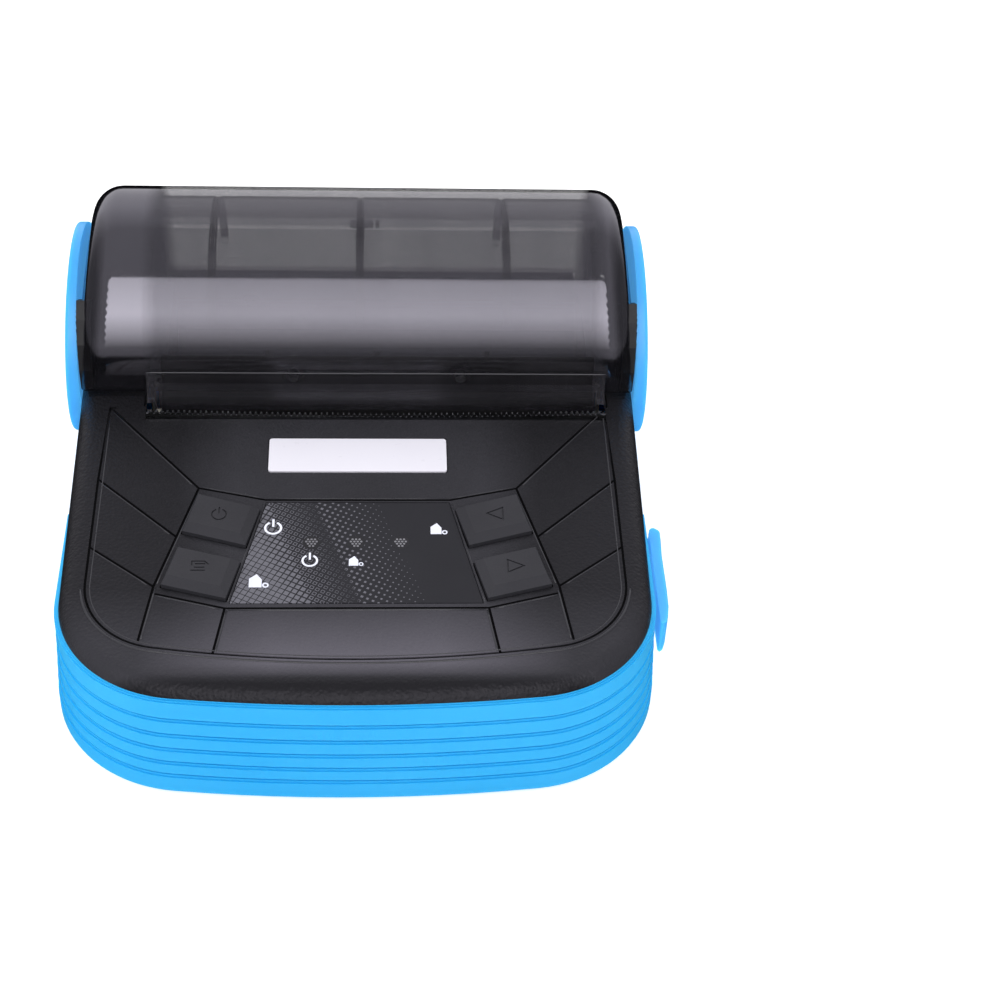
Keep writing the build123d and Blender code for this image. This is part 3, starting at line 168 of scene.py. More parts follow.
def plastic(name, col, col2, rough, rough_var, grain, grain_strength, spec=0.5, mottling=35.0, depth=0.00006):
    """Moulded plastic: a faint colour drift, a spark-eroded grain and a roughness that varies with both."""
    m = Mat(name)
    drift = m.noise(mottling, 3.0, 0.5)
    m.set(Base_Color=m.mix(m.remap(drift, 0.0, 1.0, 0.35, 0.65), srgb(col), srgb(col2)))
    g = m.voronoi(grain, "SMOOTH_F1", smooth=0.8)
    fine = m.noise(grain * 2.1, 2.0, 0.6)
    h = m.math("ADD", g, m.math("MULTIPLY", fine, 0.6))
    m.set(Roughness=m.remap(m.noise(grain * 0.35, 3.0, 0.6), rough - rough_var, rough + rough_var, 0.3, 0.7))
    m.b.inputs["Specular IOR Level"].default_value = spec
    m.add_bump(h, grain_strength, depth)
    return m.m


def metal(name, col, rough, streak_axis=0, scale=900.0, strength=0.1, metallic=1.0):
    """Drawn or rolled metal: fine streaks along one axis."""
    m = Mat(name)
    sc = [1.0, 1.0, 1.0]
    sc[streak_axis] = 0.03
    c = m.coords(tuple(sc))
    n = m.noise(scale, 4.0, 0.6, coords=c)
    m.set(Base_Color=m.mix(m.remap(m.noise(140.0, 3.0), 0.0, 1.0, 0.3, 0.7), srgb(col), tuple(x * 0.78 for x in srgb(col)[:3]) + (1.0,)))
    m.set(Roughness=m.remap(n, rough * 0.75, rough * 1.3, 0.3, 0.7))
    m.b.inputs["Metallic"].default_value = metallic
    m.add_bump(n, strength, 0.00003)
    return m.m


def black_housing():
    """Pebble-grained black plastic with painted light and shade: the front middle of the panel is painted lighter, and
    the side cells beside it and the front roll are painted darker.
    """
    m = Mat("black_shell")
    flat = m.node("ShaderNodeSeparateXYZ")
    m.link(m.tc.outputs["Object"], flat.inputs[0])
    ax = m.math("ABSOLUTE", flat.outputs[0])
    y = flat.outputs[1]
    drift = m.noise(35.0, 3.0, 0.5)
    # painted light: mask over the front middle of the panel, mixed towards a lighter grey below
    front = m.math("MULTIPLY", m.remap(ax, 1.0, 0.0, 0.014, 0.036), m.math("MULTIPLY", m.remap(y, 1.0, 0.0, -0.0485, -0.036), m.remap(y, 0.0, 1.0, -0.0535, -0.0505)))
    # painted shade: mask over the side cells at the front, mixed towards near-black below
    side = m.math("MULTIPLY", m.remap(ax, 0.0, 1.0, 0.022, 0.032), m.remap(y, 0.0, 1.0, -0.046, -0.034))
    col = m.mix(m.remap(drift, 0.0, 1.0, 0.35, 0.65), srgb("262629"), srgb("2c2c30"))
    col = m.mix(m.math("MULTIPLY", front, 0.75), col, srgb("5c5a62"))
    col = m.mix(m.math("MULTIPLY", side, 0.8), col, srgb("111113"))
    # painted shade: the front roll of the panel darkened towards near-black
    col = m.mix(m.math("MULTIPLY", m.remap(y, 1.0, 0.0, -0.0545, -0.0525), 0.85), col, srgb("0c0c0e"))
    m.set(Base_Color=col)
    g = m.voronoi(1700.0, "SMOOTH_F1", smooth=0.8)
    fine = m.noise(3600.0, 2.0, 0.6)
    h = m.math("ADD", g, m.math("MULTIPLY", fine, 0.6))
    m.set(Roughness=m.remap(m.noise(600.0, 3.0, 0.6), 0.38, 0.48, 0.3, 0.7))
    m.b.inputs["Specular IOR Level"].default_value = 0.26
    m.b.inputs["Specular Tint"].default_value = (0.93, 0.91, 1.0, 1.0)
    m.add_bump(h, 0.8, 0.00013)
    return m.m


M = {}
M["black_shell"] = black_housing()
# painted shade: near-black for the floors of the panel's cut lines
M["groove_painted_shade"] = plastic("groove_painted_shade", "040405", "070708", 0.9, 0.05, 1700.0, 0.2, spec=0.05)
M["black_line"] = plastic("black_line", "2a2a2e", "313135", 0.30, 0.04, 1500.0, 0.1, spec=0.5)
M["blue_shell"] = plastic("blue_shell", "259fd9", "2ca3db", 0.42, 0.04, 2600.0, 0.12, spec=0.28)
M["blue_cap"] = plastic("blue_cap", "2079ba", "267ebf", 0.34, 0.03, 2600.0, 0.06, spec=0.4)
M["inner_black"] = plastic("inner_black", "151517", "1b1b1d", 0.5, 0.05, 1500.0, 0.18, spec=0.35)
M["platen_rubber"] = plastic("platen_rubber", "1a1a1b", "232324", 0.75, 0.06, 2400.0, 0.35, spec=0.3)
M["foot_rubber"] = plastic("foot_rubber", "1b1b1b", "242424", 0.8, 0.05, 1400.0, 0.4, spec=0.25)
M["steel"] = metal("steel", "c9cbcd", 0.26)
M["plated_steel"] = metal("plated_steel", "b3b6b8", 0.36, 2, 600.0, 0.15)
M["screw_steel"] = metal("screw_steel", "8d8f92", 0.33, 2, 900.0, 0.12)
M["heatsink"] = metal("heatsink", "c3c6ca", 0.38, 0, 700.0, 0.2)
M["gold"] = metal("gold", "d9b35a", 0.28, 2, 900.0, 0.08)
M["white_acetal"] = plastic("white_acetal", "e2dfd2", "d8d5c8", 0.42, 0.05, 1500.0, 0.08)
M["ceramic"] = plastic("ceramic", "d9d4c3", "cfc9b6", 0.24, 0.05, 900.0, 0.05)
M["board_green"] = plastic("board_green", "0d5a2b", "0b4d25", 0.35, 0.05, 900.0, 0.12)
M["chip_black"] = plastic("chip_black", "202022", "29292b", 0.5, 0.06, 2400.0, 0.3)
M["led_lens"] = plastic("led_lens", "dfe3da", "d2d7cc", 0.2, 0.03, 900.0, 0.03)
M["key_plastic"] = plastic("key_plastic", "28282c", "2f2f33", 0.46, 0.05, 2300.0, 0.22, spec=0.28)


def printed_film():
    """Dark film with a printed halftone of turned squares that fades from left to right."""
    m = Mat("printed_film")
    c = m.coords((1000.0, 1000.0, 1000.0), (0, 0, math.radians(28)))
    sep = m.node("ShaderNodeSeparateXYZ")
    m.link(c, sep.inputs[0])
    flat = m.node("ShaderNodeSeparateXYZ")
    m.link(m.tc.outputs["Object"], flat.inputs[0])
    fx = m.math("ABSOLUTE", m.math("SUBTRACT", m.math("FRACT", m.math("DIVIDE", sep.outputs[0], 1.06)), 0.5))
    fy = m.math("ABSOLUTE", m.math("SUBTRACT", m.math("FRACT", m.math("DIVIDE", sep.outputs[1], 1.06)), 0.5))
    d = m.math("MAXIMUM", fx, fy)
    x_mm = m.math("MULTIPLY", flat.outputs[0], 1000.0)
    y_mm = m.math("MULTIPLY", flat.outputs[1], 1000.0)
    along = m.math("ADD", x_mm, m.math("MULTIPLY", m.math("ADD", y_mm, 25.0), 0.35))
    size = m.remap(along, 0.43, 0.06, -17.0, 7.5)
    size = m.math("MULTIPLY", size, m.remap(along, 1.0, 0.0, 7.4, 7.6))
    hole = m.math("MULTIPLY", m.remap(along, 0.0, 0.22, -12.5, -11.5), m.remap(along, 1.0, 0.0, -4.0, -3.0))
    on = m.math("MULTIPLY", m.math("LESS_THAN", d, size), m.math("GREATER_THAN", d, hole))
    tone = m.mix(m.noise(700.0, 2.0), srgb("5a5a61"), srgb("68686f"))
    ground = m.mix(m.noise(60.0, 2.0), srgb("222226"), srgb("29292d"))
    m.set(Base_Color=m.mix(on, ground, tone))
    m.set(Roughness=m.remap(on, 0.38, 0.30))
    m.b.inputs["Specular IOR Level"].default_value = 0.15
    m.add_bump(m.noise(2600.0, 2.0), 0.25, 0.00004)
    return m.m


M["printed_film"] = printed_film()
M["print_white"] = plastic("print_white", "dfe2ee", "d4d8e6", 0.4, 0.04, 2000.0, 0.05, spec=0.3)
M["print_grey"] = plastic("print_grey", "6c6c71", "78787d", 0.4, 0.04, 2000.0, 0.05, spec=0.3)
M["print_dark"] = plastic("print_dark", "1c1c1f", "222226", 0.4, 0.04, 2000.0, 0.05, spec=0.3)
M["bay_grey"] = plastic("bay_grey", "525259", "5b5b63", 0.5, 0.05, 1500.0, 0.15, spec=0.2)
M["white_plate"] = plastic("white_plate", "dad9e1", "d5d4dc", 0.3, 0.03, 1600.0, 0.04, spec=0.3)
M["battery_wrap"] = plastic("battery_wrap", "1d1d20", "26262a", 0.3, 0.05, 500.0, 0.1)


def clear_guide():
    m = Mat("clear_guide")
    m.set(Base_Color=m.mix(m.noise(300.0), srgb("dfe6e8"), srgb("cdd6d9")))
    m.set(Roughness=m.remap(m.noise(900.0), 0.1, 0.2))
    m.b.inputs["Alpha"].default_value = 0.55
    return m.m


M["clear_guide"] = clear_guide()


def smoked():
    """Dark smoked cover: see-through face on, mirror-like at a glancing angle."""
    m = Mat("smoked_cover")
    m.set(Base_Color=m.mix(m.noise(60.0), srgb("101013"), srgb("151518")))
    place = m.node("ShaderNodeSeparateXYZ")
    m.link(m.tc.outputs["Object"], place.inputs[0])
    lip = m.math("MULTIPLY", m.remap(place.outputs[2], 0.12, 0.0, 0.0342, 0.0346), m.remap(place.outputs[1], 1.0, 0.0, 0.016, 0.020))
    m.set(Roughness=m.math("ADD", m.remap(m.noise(420.0, 4.0), 0.05, 0.10, 0.3, 0.7), lip))
    m.b.inputs["Specular IOR Level"].default_value = 1.0
    m.b.inputs["Specular Tint"].default_value = (0.90, 0.88, 1.0, 1.0)
    m.b.inputs["IOR"].default_value = 1.8
    lw = m.node("ShaderNodeLayerWeight")
    lw.inputs["Blend"].default_value = 0.25
    streak = m.noise(260.0, 3.0, 0.6, coords=m.coords((1.0, 0.06, 0.06)))
    a = m.remap(lw.outputs["Fresnel"], 0.46, 0.74, 0.03, 0.85)
    a = m.math("ADD", a, m.remap(streak, -0.02, 0.02, 0.3, 0.7), clamp=True)
    part = m.node("ShaderNodeSeparateXYZ")
    m.link(m.tc.outputs["Object"], part.inputs[0])
    fore = m.remap(part.outputs[1], 1.0, 0.0, 0.018, 0.024)
    thin = m.math("MULTIPLY", m.math("ADD", m.remap(part.outputs[2], 0.22, 0.0, 0.0382, 0.0392), m.remap(part.outputs[2], 0.08, 0.0, 0.0342, 0.0346)), fore)
    ends = m.remap(m.math("ABSOLUTE", m.math("SUBTRACT", part.outputs[0], 0.0033)), 0.0, 0.45, 0.0395, 0.0425)
    a = m.math("SUBTRACT", m.math("ADD", a, ends, clamp=True), thin, clamp=True)
    m.link(a, m.b.inputs["Alpha"])
    m.add_bump(m.noise(38.0, 2.0), 0.10, 0.0006)
    return m.m


def smoked_rib():
    m = Mat("smoked_rib")
    m.set(Base_Color=m.mix(m.noise(90.0), srgb("0c0c0e"), srgb("121214")))
    m.set(Roughness=m.remap(m.noise(500.0), 0.25, 0.4, 0.3, 0.7))
    m.set(Alpha=m.remap(m.noise(700.0, 2.0), 0.42, 0.55, 0.3, 0.7))
    return m.m


M["smoked_rib"] = smoked_rib()


def painted_light_film():
    """Painted light: a thin hazy grey sheet inside the upper front of the cover that lightens what is seen through it.
    """
    m = Mat("painted_light_film")
    m.set(Base_Color=m.mix(m.noise(45.0, 3.0), srgb("6c6a78"), srgb("807e8d")))
    m.set(Roughness=m.remap(m.noise(300.0), 0.5, 0.65, 0.3, 0.7))
    m.b.inputs["Specular IOR Level"].default_value = 0.1
    m.set(Alpha=m.remap(m.noise(70.0, 3.0, coords=m.coords((1.0, 0.1, 0.1))), 0.17, 0.27, 0.3, 0.7))
    return m.m


M["painted_light_film"] = painted_light_film()
M["smoked_cover"] = smoked()
for key in ("blue_cap", "blue_shell"):
    b = M[key].node_tree.nodes["Principled BSDF"]
    b.inputs["Subsurface Weight"].default_value = 0.9 if key == "blue_cap" else 0.25
    b.inputs["Subsurface Radius"].default_value = (0.5, 0.9, 1.0)
    b.inputs["Subsurface Scale"].default_value = 0.006 if key == "blue_cap" else 0.002
    # painted light: the caps glow faintly in their own blue, lifting their shaded inner faces
    if key == "blue_cap":
        b.inputs["Emission Color"].default_value = srgb("60bcf8")
        b.inputs["Emission Strength"].default_value = 0.45

for n, o in NODES.items():
    slot = next(s["material_slot"] for s in frame["record"]["subparts"] if s["node"] == n)
    o.data.materials.clear()
    o.data.materials.append(M["bay_grey"] if n == "paper_bay" else M[slot])


# --------------------------------------------------------------- detail pieces
SLOPE = math.radians(2.5)
SS, CS = math.sin(SLOPE), math.cos(SLOPE)


def on_panel(x, y, lift=0.0):
    """A point (mm) on the sloping panel, raised along its normal."""
    z = 26.5 + (y + 11.5) * SS / CS
    return Vector((x, y - lift * SS, z + lift * CS)) * MM


def mesh_piece(name, verts, faces, mat, body, smooth=False):
    me = bpy.data.meshes.new(name)
    me.from_pydata([tuple(v) for v in verts], [], faces)
    me.validate()
    bm = bmesh.new()
    bm.from_mesh(me)
    bmesh.ops.remove_doubles(bm, verts=bm.verts, dist=1e-7)
    bmesh.ops.recalc_face_normals(bm, faces=bm.faces)
    bm.to_mesh(me)
    bm.free()
    o = bpy.data.objects.new(name, me)
    bpy.context.scene.collection.objects.link(o)
    me.materials.append(M[mat])
    if smooth:
        me.polygons.foreach_set("use_smooth", [True] * len(me.polygons))
    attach(o, body)
    return o


def slabs(name, loops, lift0, lift1, mat, body):
    """Thin flat prints or plates on the panel: each loop is a list of (x, y)."""
    verts, faces = [], []
    for loop in loops:
        n, b = len(loop), len(verts)
        for lift in (lift0, lift1):
            verts += [on_panel(x, y, lift) for x, y in loop]
        faces.append(list(range(b + n, b + 2 * n)))
        faces.append(list(range(b + n - 1, b - 1, -1)))
        for i in range(n):
            j = (i + 1) % n
            faces.append([b + i, b + j, b + n + j, b + n + i])
    return mesh_piece(name, verts, faces, mat, body)


def ring_loops(cx, cy, r0, r1, a0=0.0, a1=360.0, n=40):
    """An annular sector as short quads."""
    out = []
    for i in range(n):
        t0, t1 = (math.radians(a0 + (a1 - a0) * k / n) for k in (i, i + 1))
        out.append([(cx + r0 * math.cos(t0), cy + r0 * math.sin(t0)), (cx + r1 * math.cos(t0), cy + r1 * math.sin(t0)),
                    (cx + r1 * math.cos(t1), cy + r1 * math.sin(t1)), (cx + r0 * math.cos(t1), cy + r0 * math.sin(t1))])
    return out


def disc_loop(cx, cy, r, n=20):
    return [(cx + r * math.cos(2 * math.pi * i / n), cy + r * math.sin(2 * math.pi * i / n)) for i in range(n)]


def bead(name, paths, w, h, mat="black_line", body="base", base=-0.02):
    """Rounded beads along polylines on the panel."""
    verts, faces = [], []
    prof = [(math.cos(math.pi * k / 6), math.sin(math.pi * k / 6)) for k in range(7)]
    for path in paths:
        b, m = len(verts), len(path)
        for i, (x, y) in enumerate(path):
            x0, y0 = path[max(i - 1, 0)]
            x1, y1 = path[min(i + 1, m - 1)]
            dx, dy = x1 - x0, y1 - y0
            ln = math.hypot(dx, dy)
            nx, ny = -dy / ln, dx / ln
            for c, s_ in prof:
                verts.append(on_panel(x + nx * c * w / 2, y + ny * c * w / 2, base + s_ * h))
        for i in range(m - 1):
            for k in range(6):
                p = b + i * 7 + k
                faces.append([p, p + 1, p + 8, p + 7])
        faces.append([b + k for k in range(7)])
        faces.append([b + (m - 1) * 7 + k for k in range(6, -1, -1)])
    return mesh_piece(name, verts, faces, mat, body, smooth=True)


def outline_path(d, y_top=9.6, part="all"):
    """The inset outline of the panel, moved inwards by d."""
    rs, rb = 14.5 - d, 215.0 - d
    cx, cy = 31.6, -32.99
    pts = [(46.1 - d, y_top - (y_top + 33.0) * i / 12) for i in range(13)]
    for i in range(1, 19):
        a = math.radians(-80.93 * i / 18)
        pts.append((cx + rs * math.cos(a), cy + rs * math.sin(a)))
    x1 = pts[-1][0]
    for i in range(1, 25):
        x = x1 * (1 - i / 24)
        pts.append((x, 165.0 - math.sqrt(rb * rb - x * x)))
    left = [(-x, y) for x, y in pts[::-1]][1:]
    full = pts + left
    if part == "front":
        return [p for p in full if p[1] < -33.5]
    return full


def seg(p, q, n=6):
    return [(p[0] + (q[0] - p[0]) * i / n, p[1] + (q[1] - p[1]) * i / n) for i in range(n + 1)]


def shifted(p, q, d, trim=0.5):
    """The line from p to q moved sideways by d and shortened at both ends."""
    dx, dy = q[0] - p[0], q[1] - p[1]
    ln = math.hypot(dx, dy)
    ux, uy = dx / ln, dy / ln
    return seg((p[0] + ux * trim - uy * d, p[1] + uy * trim + ux * d), (q[0] - ux * trim - uy * d, q[1] - uy * trim + ux * d))


# painted shade: dark strips laid over the floors of the cut lines
cuts = [outline_path(0.21, 10.4)]
for s in (-1, 1):
    cuts += [seg((s * 45.6, 10.4), (s * 28.1, -10.2), 10), seg((s * 28.1, -10.2), (s * 16.2, -13.1), 6), seg((s * 45.9, -8.0), (s * 31.4, -21.9), 8),
             seg((s * 45.9, -24.4), (s * 34.4, -33.5), 8), seg((s * 28.1, -10.2), (s * 34.4, -33.5), 10), seg((s * 34.4, -33.5), (s * 36.1, -45.6), 6),
             seg((s * 22.2, -38.4), (s * 23.7, -48.3), 6), seg((s * 34.6, -35.0), (s * 22.2, -38.4), 6)]
cuts += [seg((-16.2, -13.1), (16.2, -13.1), 8), seg((-22.2, -38.4), (22.2, -38.4), 8)]
bead("panel_cut_painted_shade", cuts, 0.42, 0.06, "groove_painted_shade", base=-0.065)

# rims beside the line work of the panel
bead("panel_front_rim", [outline_path(-0.42, part="front")], 0.40, 0.16)
bead("panel_inner_line", [outline_path(1.05, 8.0)], 0.22, 0.07)
rims = []
for s in (-1, 1):
    rims.append(shifted((s * 34.4, -33.5), (s * 36.1, -45.6), 0.40 * (1 if s < 0 else -1)))
    rims.append(shifted((s * 22.2, -38.4), (s * 23.7, -48.3), 0.40 * (1 if s < 0 else -1)))
    rims.append(shifted((s * 34.6, -35.0), (s * 22.2, -38.4), 0.38 * s, 0.8))
rims.append(shifted((-22.2, -38.4), (22.2, -38.4), -0.40, 0.6))
bead("panel_cell_rims", rims, 0.34, 0.13)
fine = []
for s in (-1, 1):
    fine.append(shifted((s * 45.2, 10.4), (s * 28.1, -10.2), 0.36 * s, 1.5))
    fine.append(shifted((s * 45.9, -8.0), (s * 31.4, -21.9), 0.34 * s, 1.2))
    fine.append(shifted((s * 45.9, -24.4), (s * 34.4, -33.5), 0.34 * s, 1.2))
    fine.append(shifted((s * 28.1, -10.2), (s * 34.4, -33.5), -0.36 * s, 0.8))
fine.append(shifted((-16.2, -13.1), (16.2, -13.1), 0.36, 0.4))
for s in (-1, 1):
    fine.append(shifted((s * 28.1, -10.2), (s * 16.2, -13.1), -0.36 * s, 0.6))
bead("panel_fine_lines", fine, 0.22, 0.06)

# signs, lamp dots and the dark line round the printed film
def power_sign(cx, cy, k=1.0):
    loops = ring_loops(cx, cy, 1.12 * k, 1.50 * k, 118, 422, 44)
    loops.append([(cx - 0.19 * k, cy + 0.25 * k), (cx + 0.19 * k, cy + 0.25 * k), (cx + 0.19 * k, cy + 1.95 * k), (cx - 0.19 * k, cy + 1.95 * k)])
    return loops


def feed_sign(cx, cy, k=1.0):
    """A small upright slip with a pointed top, and a ring for the roll."""
    w, h = 0.95 * k, 1.15 * k
    loops = [[(cx - w, cy - h), (cx + w, cy - h), (cx + w, cy + 0.35 * k), (cx + 0.15 * k, cy + 1.45 * k), (cx - w, cy + 0.55 * k)]]
    return loops + ring_loops(cx + 1.5 * k, cy - 0.72 * k, 0.26 * k, 0.50 * k, n=18)


signs = power_sign(-14.7, -19.9, 1.05) + power_sign(-8.2, -27.6, 0.95)
signs += feed_sign(-17.3, -32.4, 1.15) + feed_sign(-0.7, -27.8, 0.85) + feed_sign(13.6, -20.2, 1.0)
slabs("overlay_signs", signs, 0.0, 0.03, "print_white", "base")
LAMPS = [(-8.0, -23.4), (-0.3, -23.4), (7.4, -23.4)]
slabs("overlay_lamp_fields", [disc_loop(x, y, 1.55, 28) for x, y in LAMPS], 0.0, 0.012, "print_dark", "base")
dots = []
for x, y in LAMPS:
    for row, cnt in ((-1.5, 2), (-0.5, 3), (0.5, 4), (1.5, 3)):
        for i in range(cnt):
            px, py = x + (i - (cnt - 1) / 2) * 0.60, y + row * 0.52
            if math.hypot(px - x, py - y) < 1.35:
                dots.append(disc_loop(px, py, 0.215, 10))
slabs("overlay_lamp_dots", dots, 0.0, 0.03, "print_grey", "base")
edge = [(-16.0, -13.8), (16.0, -13.8), (21.2, -37.3), (-21.4, -37.3), (-16.0, -13.8)]
edge_paths = [seg(edge[i], edge[i + 1], 4) for i in range(4)]
bead("overlay_edge", [shifted(edge[1], edge[2], 0.45, 0.3), shifted(edge[3], edge[0], 0.45, 0.3)], 0.20, 0.05)


# ribs inside the cover, the crease of its lip
def arc_yz(r, a0, a1, n):
    return [(35.2 + r * math.cos(math.radians(a0 + (a1 - a0) * i / n)), 31.2 + r * math.sin(math.radians(a0 + (a1 - a0) * i / n))) for i in range(n + 1)]


def arc_bars(name, spans, r0, r1, a0, a1, mat, body, n=40):
    """Curved bars of rectangular section along the inside of the round cover."""
    verts, faces = [], []
    for x0, x1 in spans:
        b = len(verts)
        inner, outer = arc_yz(r0, a0, a1, n), arc_yz(r1, a0, a1, n)
        for i in range(n + 1):
            for (y, z), x in ((inner[i], x0), (inner[i], x1), (outer[i], x1), (outer[i], x0)):
                verts.append(Vector((x, y, z)) * MM)
        for i in range(n):
            for k in range(4):
                p, q = b + i * 4 + k, b + i * 4 + (k + 1) % 4
                faces.append([p, q, q + 4, p + 4])
        faces.append([b, b + 1, b + 2, b + 3])
        faces.append([b + n * 4 + k for k in (3, 2, 1, 0)])
    return mesh_piece(name, verts, faces, mat, body)


ribs = []
for rx in (-26.6, 0.2, 27.0):
    ribs += [(rx - 0.72, rx - 0.40), (rx + 0.40, rx + 0.72)]
arc_bars("cover_rib_edges", ribs, 20.3, 21.1, 4, 150, "smoked_rib", "cover")
arc_bars("cover_rib_webs", [(rx - 0.38, rx + 0.38) for rx in (-26.6, 0.2, 27.0)], 20.75, 21.1, 4, 146, "smoked_rib", "cover")
arc_bars("cover_rib_cross", [(-1.7, 2.6), (3.1, 3.7)], 20.6, 21.12, 91, 96, "smoked_rib", "cover", n=6)


# painted light: the hazy grey sheet inside the upper front of the cover
arc_bars("cover_painted_light_film", [(-37.3, 42.7)], 20.28, 20.3, 96, 152.5, "painted_light_film", "cover", n=48)


def crease():
    verts, faces = [], []
    n, k = 80, 8
    for i in range(n + 1):
        x = -38.55 + (45.25 + 38.55) * i / n
        for j in range(k):
            a = 2 * math.pi * j / k
            verts.append(Vector((x, 12.28 + 0.13 * math.cos(a), 34.28 + 0.13 * math.sin(a))) * MM)
    for i in range(n):
        for j in range(k):
            p, q = i * k + j, i * k + (j + 1) % k
            faces.append([p, q, q + k, p + k])
    faces.append(list(range(k - 1, -1, -1)))
    faces.append([n * k + j for j in range(k)])
    return mesh_piece("cover_lip_crease", verts, faces, "crease_painted_highlight", "cover", smooth=True)


# fine upright ridges on the two grip tabs
ridges, ridge_faces = [], []
for s in (-1, 1):
    for i in range(6):
        y0, z1 = 15.1 + i * 0.72, (36.0, 38.6, 40.6, 41.9, 42.6, 43.2)[i]
        b = len(ridges)
        for x in (50.83, 50.97):
            ridges += [Vector((s * x, y0 + dy, z)) * MM for dy, z in ((0.0, 29.4), (0.34, 29.4), (0.34, z1), (0.0, z1))]
        ridge_faces += [[b, b + 1, b + 2, b + 3], [b + 4, b + 5, b + 6, b + 7]] + [[b + k, b + (k + 1) % 4, b + 4 + (k + 1) % 4, b + 4 + k] for k in range(4)]
mesh_piece("cover_grip_ridges", ridges, ridge_faces, "smoked_rib", "cover")

# painted shade: a dull dark sheet over the two grip tabs, which sit in shade
outline = [(14.55, 28.45), (14.25, 33.0), (15.35, 38.03), (17.56, 42.25), (20.0, 44.68), (23.2, 42.5), (20.4, 36.0), (19.4, 28.45)]
for side, s in (("left", -1), ("right", 1)):
    k = len(outline)
    shade_sheet = [Vector((s * x, y, z)) * MM for x in (48.6, 50.9) for y, z in outline]
    shade_sheet_faces = [list(range(k)), list(range(2 * k - 1, k - 1, -1))] + [[i, (i + 1) % k, k + (i + 1) % k, k + i] for i in range(k)]
    mesh_piece("cover_grip_painted_shade_" + side, shade_sheet, shade_sheet_faces, "inner_black", "cover")

# a copy of the head springs with its own mesh, attached to the base in place of the hidden original
node = NODES["head_springs"]
coils = bpy.data.objects.new("head_springs_flexing", node.data.copy())
bpy.context.scene.collection.objects.link(coils)
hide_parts("head_springs")
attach(coils, "base")
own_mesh(coils)

# the lip's crease is a thin rounded bead that catches light, in a grey lighter than the cover: partly painted highlight
M["crease_painted_highlight"] = plastic("crease_painted_highlight", "37373b", "424247", 0.2, 0.04, 900.0, 0.1, spec=0.5)
crease()


# --------------------------------------------------------------------- camera
cam_data = bpy.data.cameras.new("camera")
cam = bpy.data.objects.new("camera", cam_data)
bpy.context.scene.collection.objects.link(cam)
cam_data.sensor_width = 36.0
cam_data.lens = 76.494
cam.location = (2.57 * MM, -286.68 * MM, 284.03 * MM)
cam.rotation_euler = (math.radians(46.7774), math.radians(-2.3818), math.radians(-2.4664))
cam_data.clip_start = 0.01
bpy.context.scene.camera = cam

# ------------------------------------------------------------- floor and light
bpy.ops.mesh.primitive_plane_add(size=6.0, location=(0, 0, 0))
floor = bpy.context.object
floor.name = "floor"
fm = Mat("floor")
fm.set(Base_Color=fm.mix(fm.noise(3.0), (0.93, 0.93, 0.93, 1), (0.95, 0.95, 0.95, 1)))
fm.b.inputs["Roughness"].default_value = 0.9
fm.b.inputs["Specular IOR Level"].default_value = 0.1
fm.b.inputs["Emission Color"].default_value = (1.0, 0.995, 0.99, 1)
fm.b.inputs["Emission Strength"].default_value = 0.30
floor.data.materials.append(fm.m)
floor.visible_glossy = False

world = bpy.data.worlds.new("world")
world.use_nodes = True
wt = world.node_tree
wt.nodes["Background"].inputs["Color"].default_value = (1.0, 0.98, 1.03, 1)


def wnode(kind, **kw):
    n = wt.nodes.new(kind)
    for k, v in kw.items():
        setattr(n, k, v)
    return n


def wramp(sock, a, b, lo, hi):
    r = wnode("ShaderNodeMapRange")
    for k, v in (("From Min", lo), ("From Max", hi), ("To Min", a), ("To Max", b)):
        r.inputs[k].default_value = v
    wt.links.new(sock, r.inputs["Value"])
    return r.outputs["Result"]


def wmul(a, b):
    n = wnode("ShaderNodeMath", operation="MULTIPLY")
    for i, v in enumerate((a, b)):
        if isinstance(v, float):
            n.inputs[i].default_value = v
        else:
            wt.links.new(v, n.inputs[i])
    return n.outputs[0]


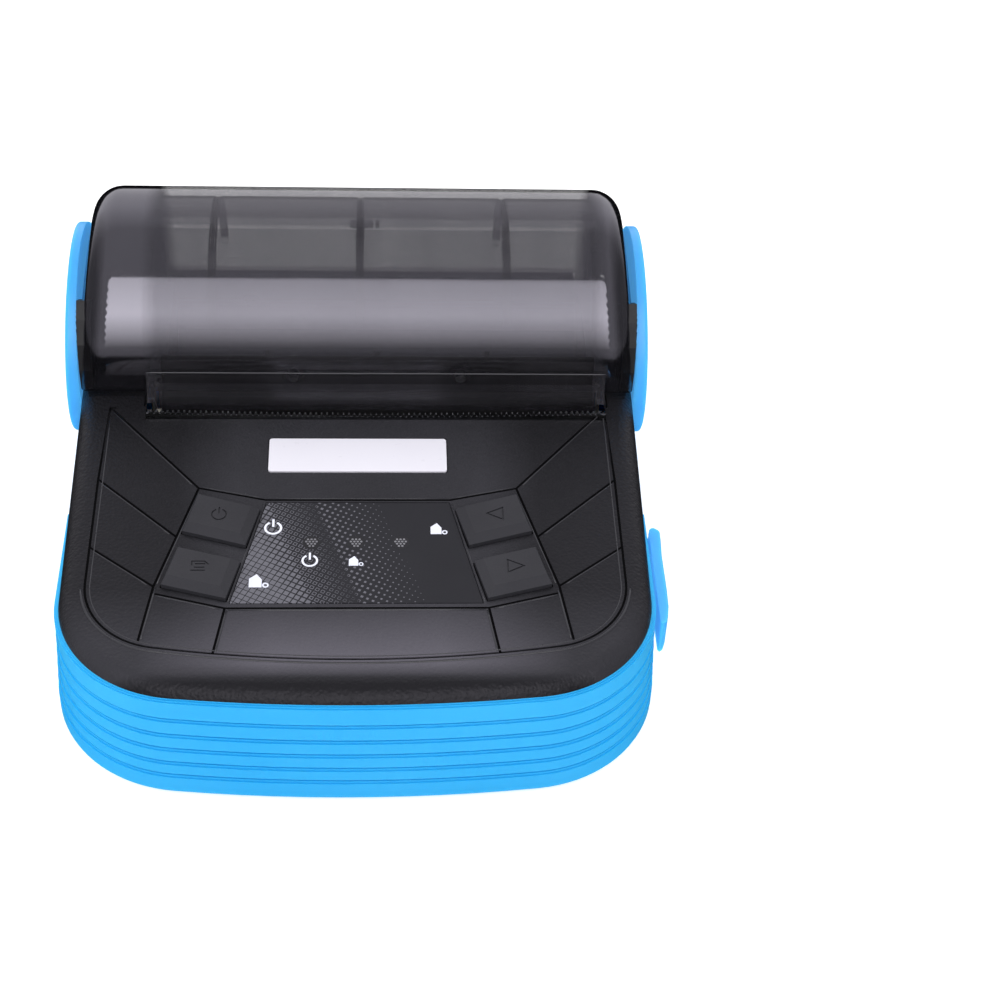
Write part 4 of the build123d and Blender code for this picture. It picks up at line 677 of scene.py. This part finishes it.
# a studio that is dark below the table and to both sides, lighter low behind
way = wnode("ShaderNodeSeparateXYZ")
wt.links.new(wnode("ShaderNodeTexCoord").outputs["Generated"], way.inputs[0])
side_x = wnode("ShaderNodeMath", operation="ABSOLUTE")
wt.links.new(way.outputs[0], side_x.inputs[0])
glow = wmul(wramp(way.outputs[2], 0.0, 0.5, -0.17, -0.12), wramp(side_x.outputs[0], 1.0, 0.3, 0.55, 0.9))
glow = wmul(glow, wramp(way.outputs[1], 1.0, 1.9, 0.45, 0.85))
wt.links.new(glow, wt.nodes["Background"].inputs["Strength"])
bpy.context.scene.world = world


def area(name, loc, target, sx, sy, power, color=(1, 1, 1)):
    d = bpy.data.lights.new(name, "AREA")
    d.shape = "RECTANGLE"
    d.size, d.size_y = sx, sy
    d.energy = power
    d.color = color
    o = bpy.data.objects.new(name, d)
    bpy.context.scene.collection.objects.link(o)
    o.location = loc
    o.rotation_euler = (Vector(target) - Vector(loc)).to_track_quat("-Z", "Y").to_euler()
    return o


front_light = area("softbox_front", (0.0, -0.86, 0.76), (0, 0, 0.04), 0.80, 1.08, 9.0, (1.0, 0.985, 1.0))
front_light.visible_glossy = False
for name, x, power in (("strip_left", -0.75, 4.4), ("strip_right", 0.75, 2.8)):
    area(name, (x, 0.05, 0.35), (0, 0, 0.02), 0.9, 0.5, power).visible_glossy = False
# what the glossy parts see of the front light: a cloth that fades towards its lower edge
bpy.ops.mesh.primitive_plane_add(size=1.0, location=(0.0, -0.925, 0.653))
cloth = bpy.context.object
cloth.name = "softbox_cloth"
cloth.scale = (0.80, 1.47, 1.0)
cloth.rotation_euler = (Vector((0, 0, 0.04)) - Vector((0.0, -0.925, 0.653))).to_track_quat("-Z", "Y").to_euler()
cm = Mat("softbox_cloth")
cm.b.inputs["Base Color"].default_value = (0, 0, 0, 1)
cm.b.inputs["Specular IOR Level"].default_value = 0.0
split = cm.node("ShaderNodeSeparateXYZ")
cm.link(cm.tc.outputs["Object"], split.inputs[0])
v = split.outputs[1]
level = cm.math("ADD", cm.remap(v, 0.4, 3.5, -0.5, -0.02), cm.remap(v, 0.0, -0.9, 0.02, 0.5))
cm.b.inputs["Emission Color"].default_value = (1, 0.98, 1, 1)
cm.link(level, cm.b.inputs["Emission Strength"])
cloth.data.materials.append(cm.m)
cloth.visible_diffuse = False
cloth.visible_camera = False
cloth.visible_shadow = False
top_light = area("back_top", (0.0, 0.85, 1.05), (0, 0, 0.02), 1.1, 0.7, 6.0)
top_light.visible_glossy = False

bpy.context.scene.view_settings.view_transform = "Standard"
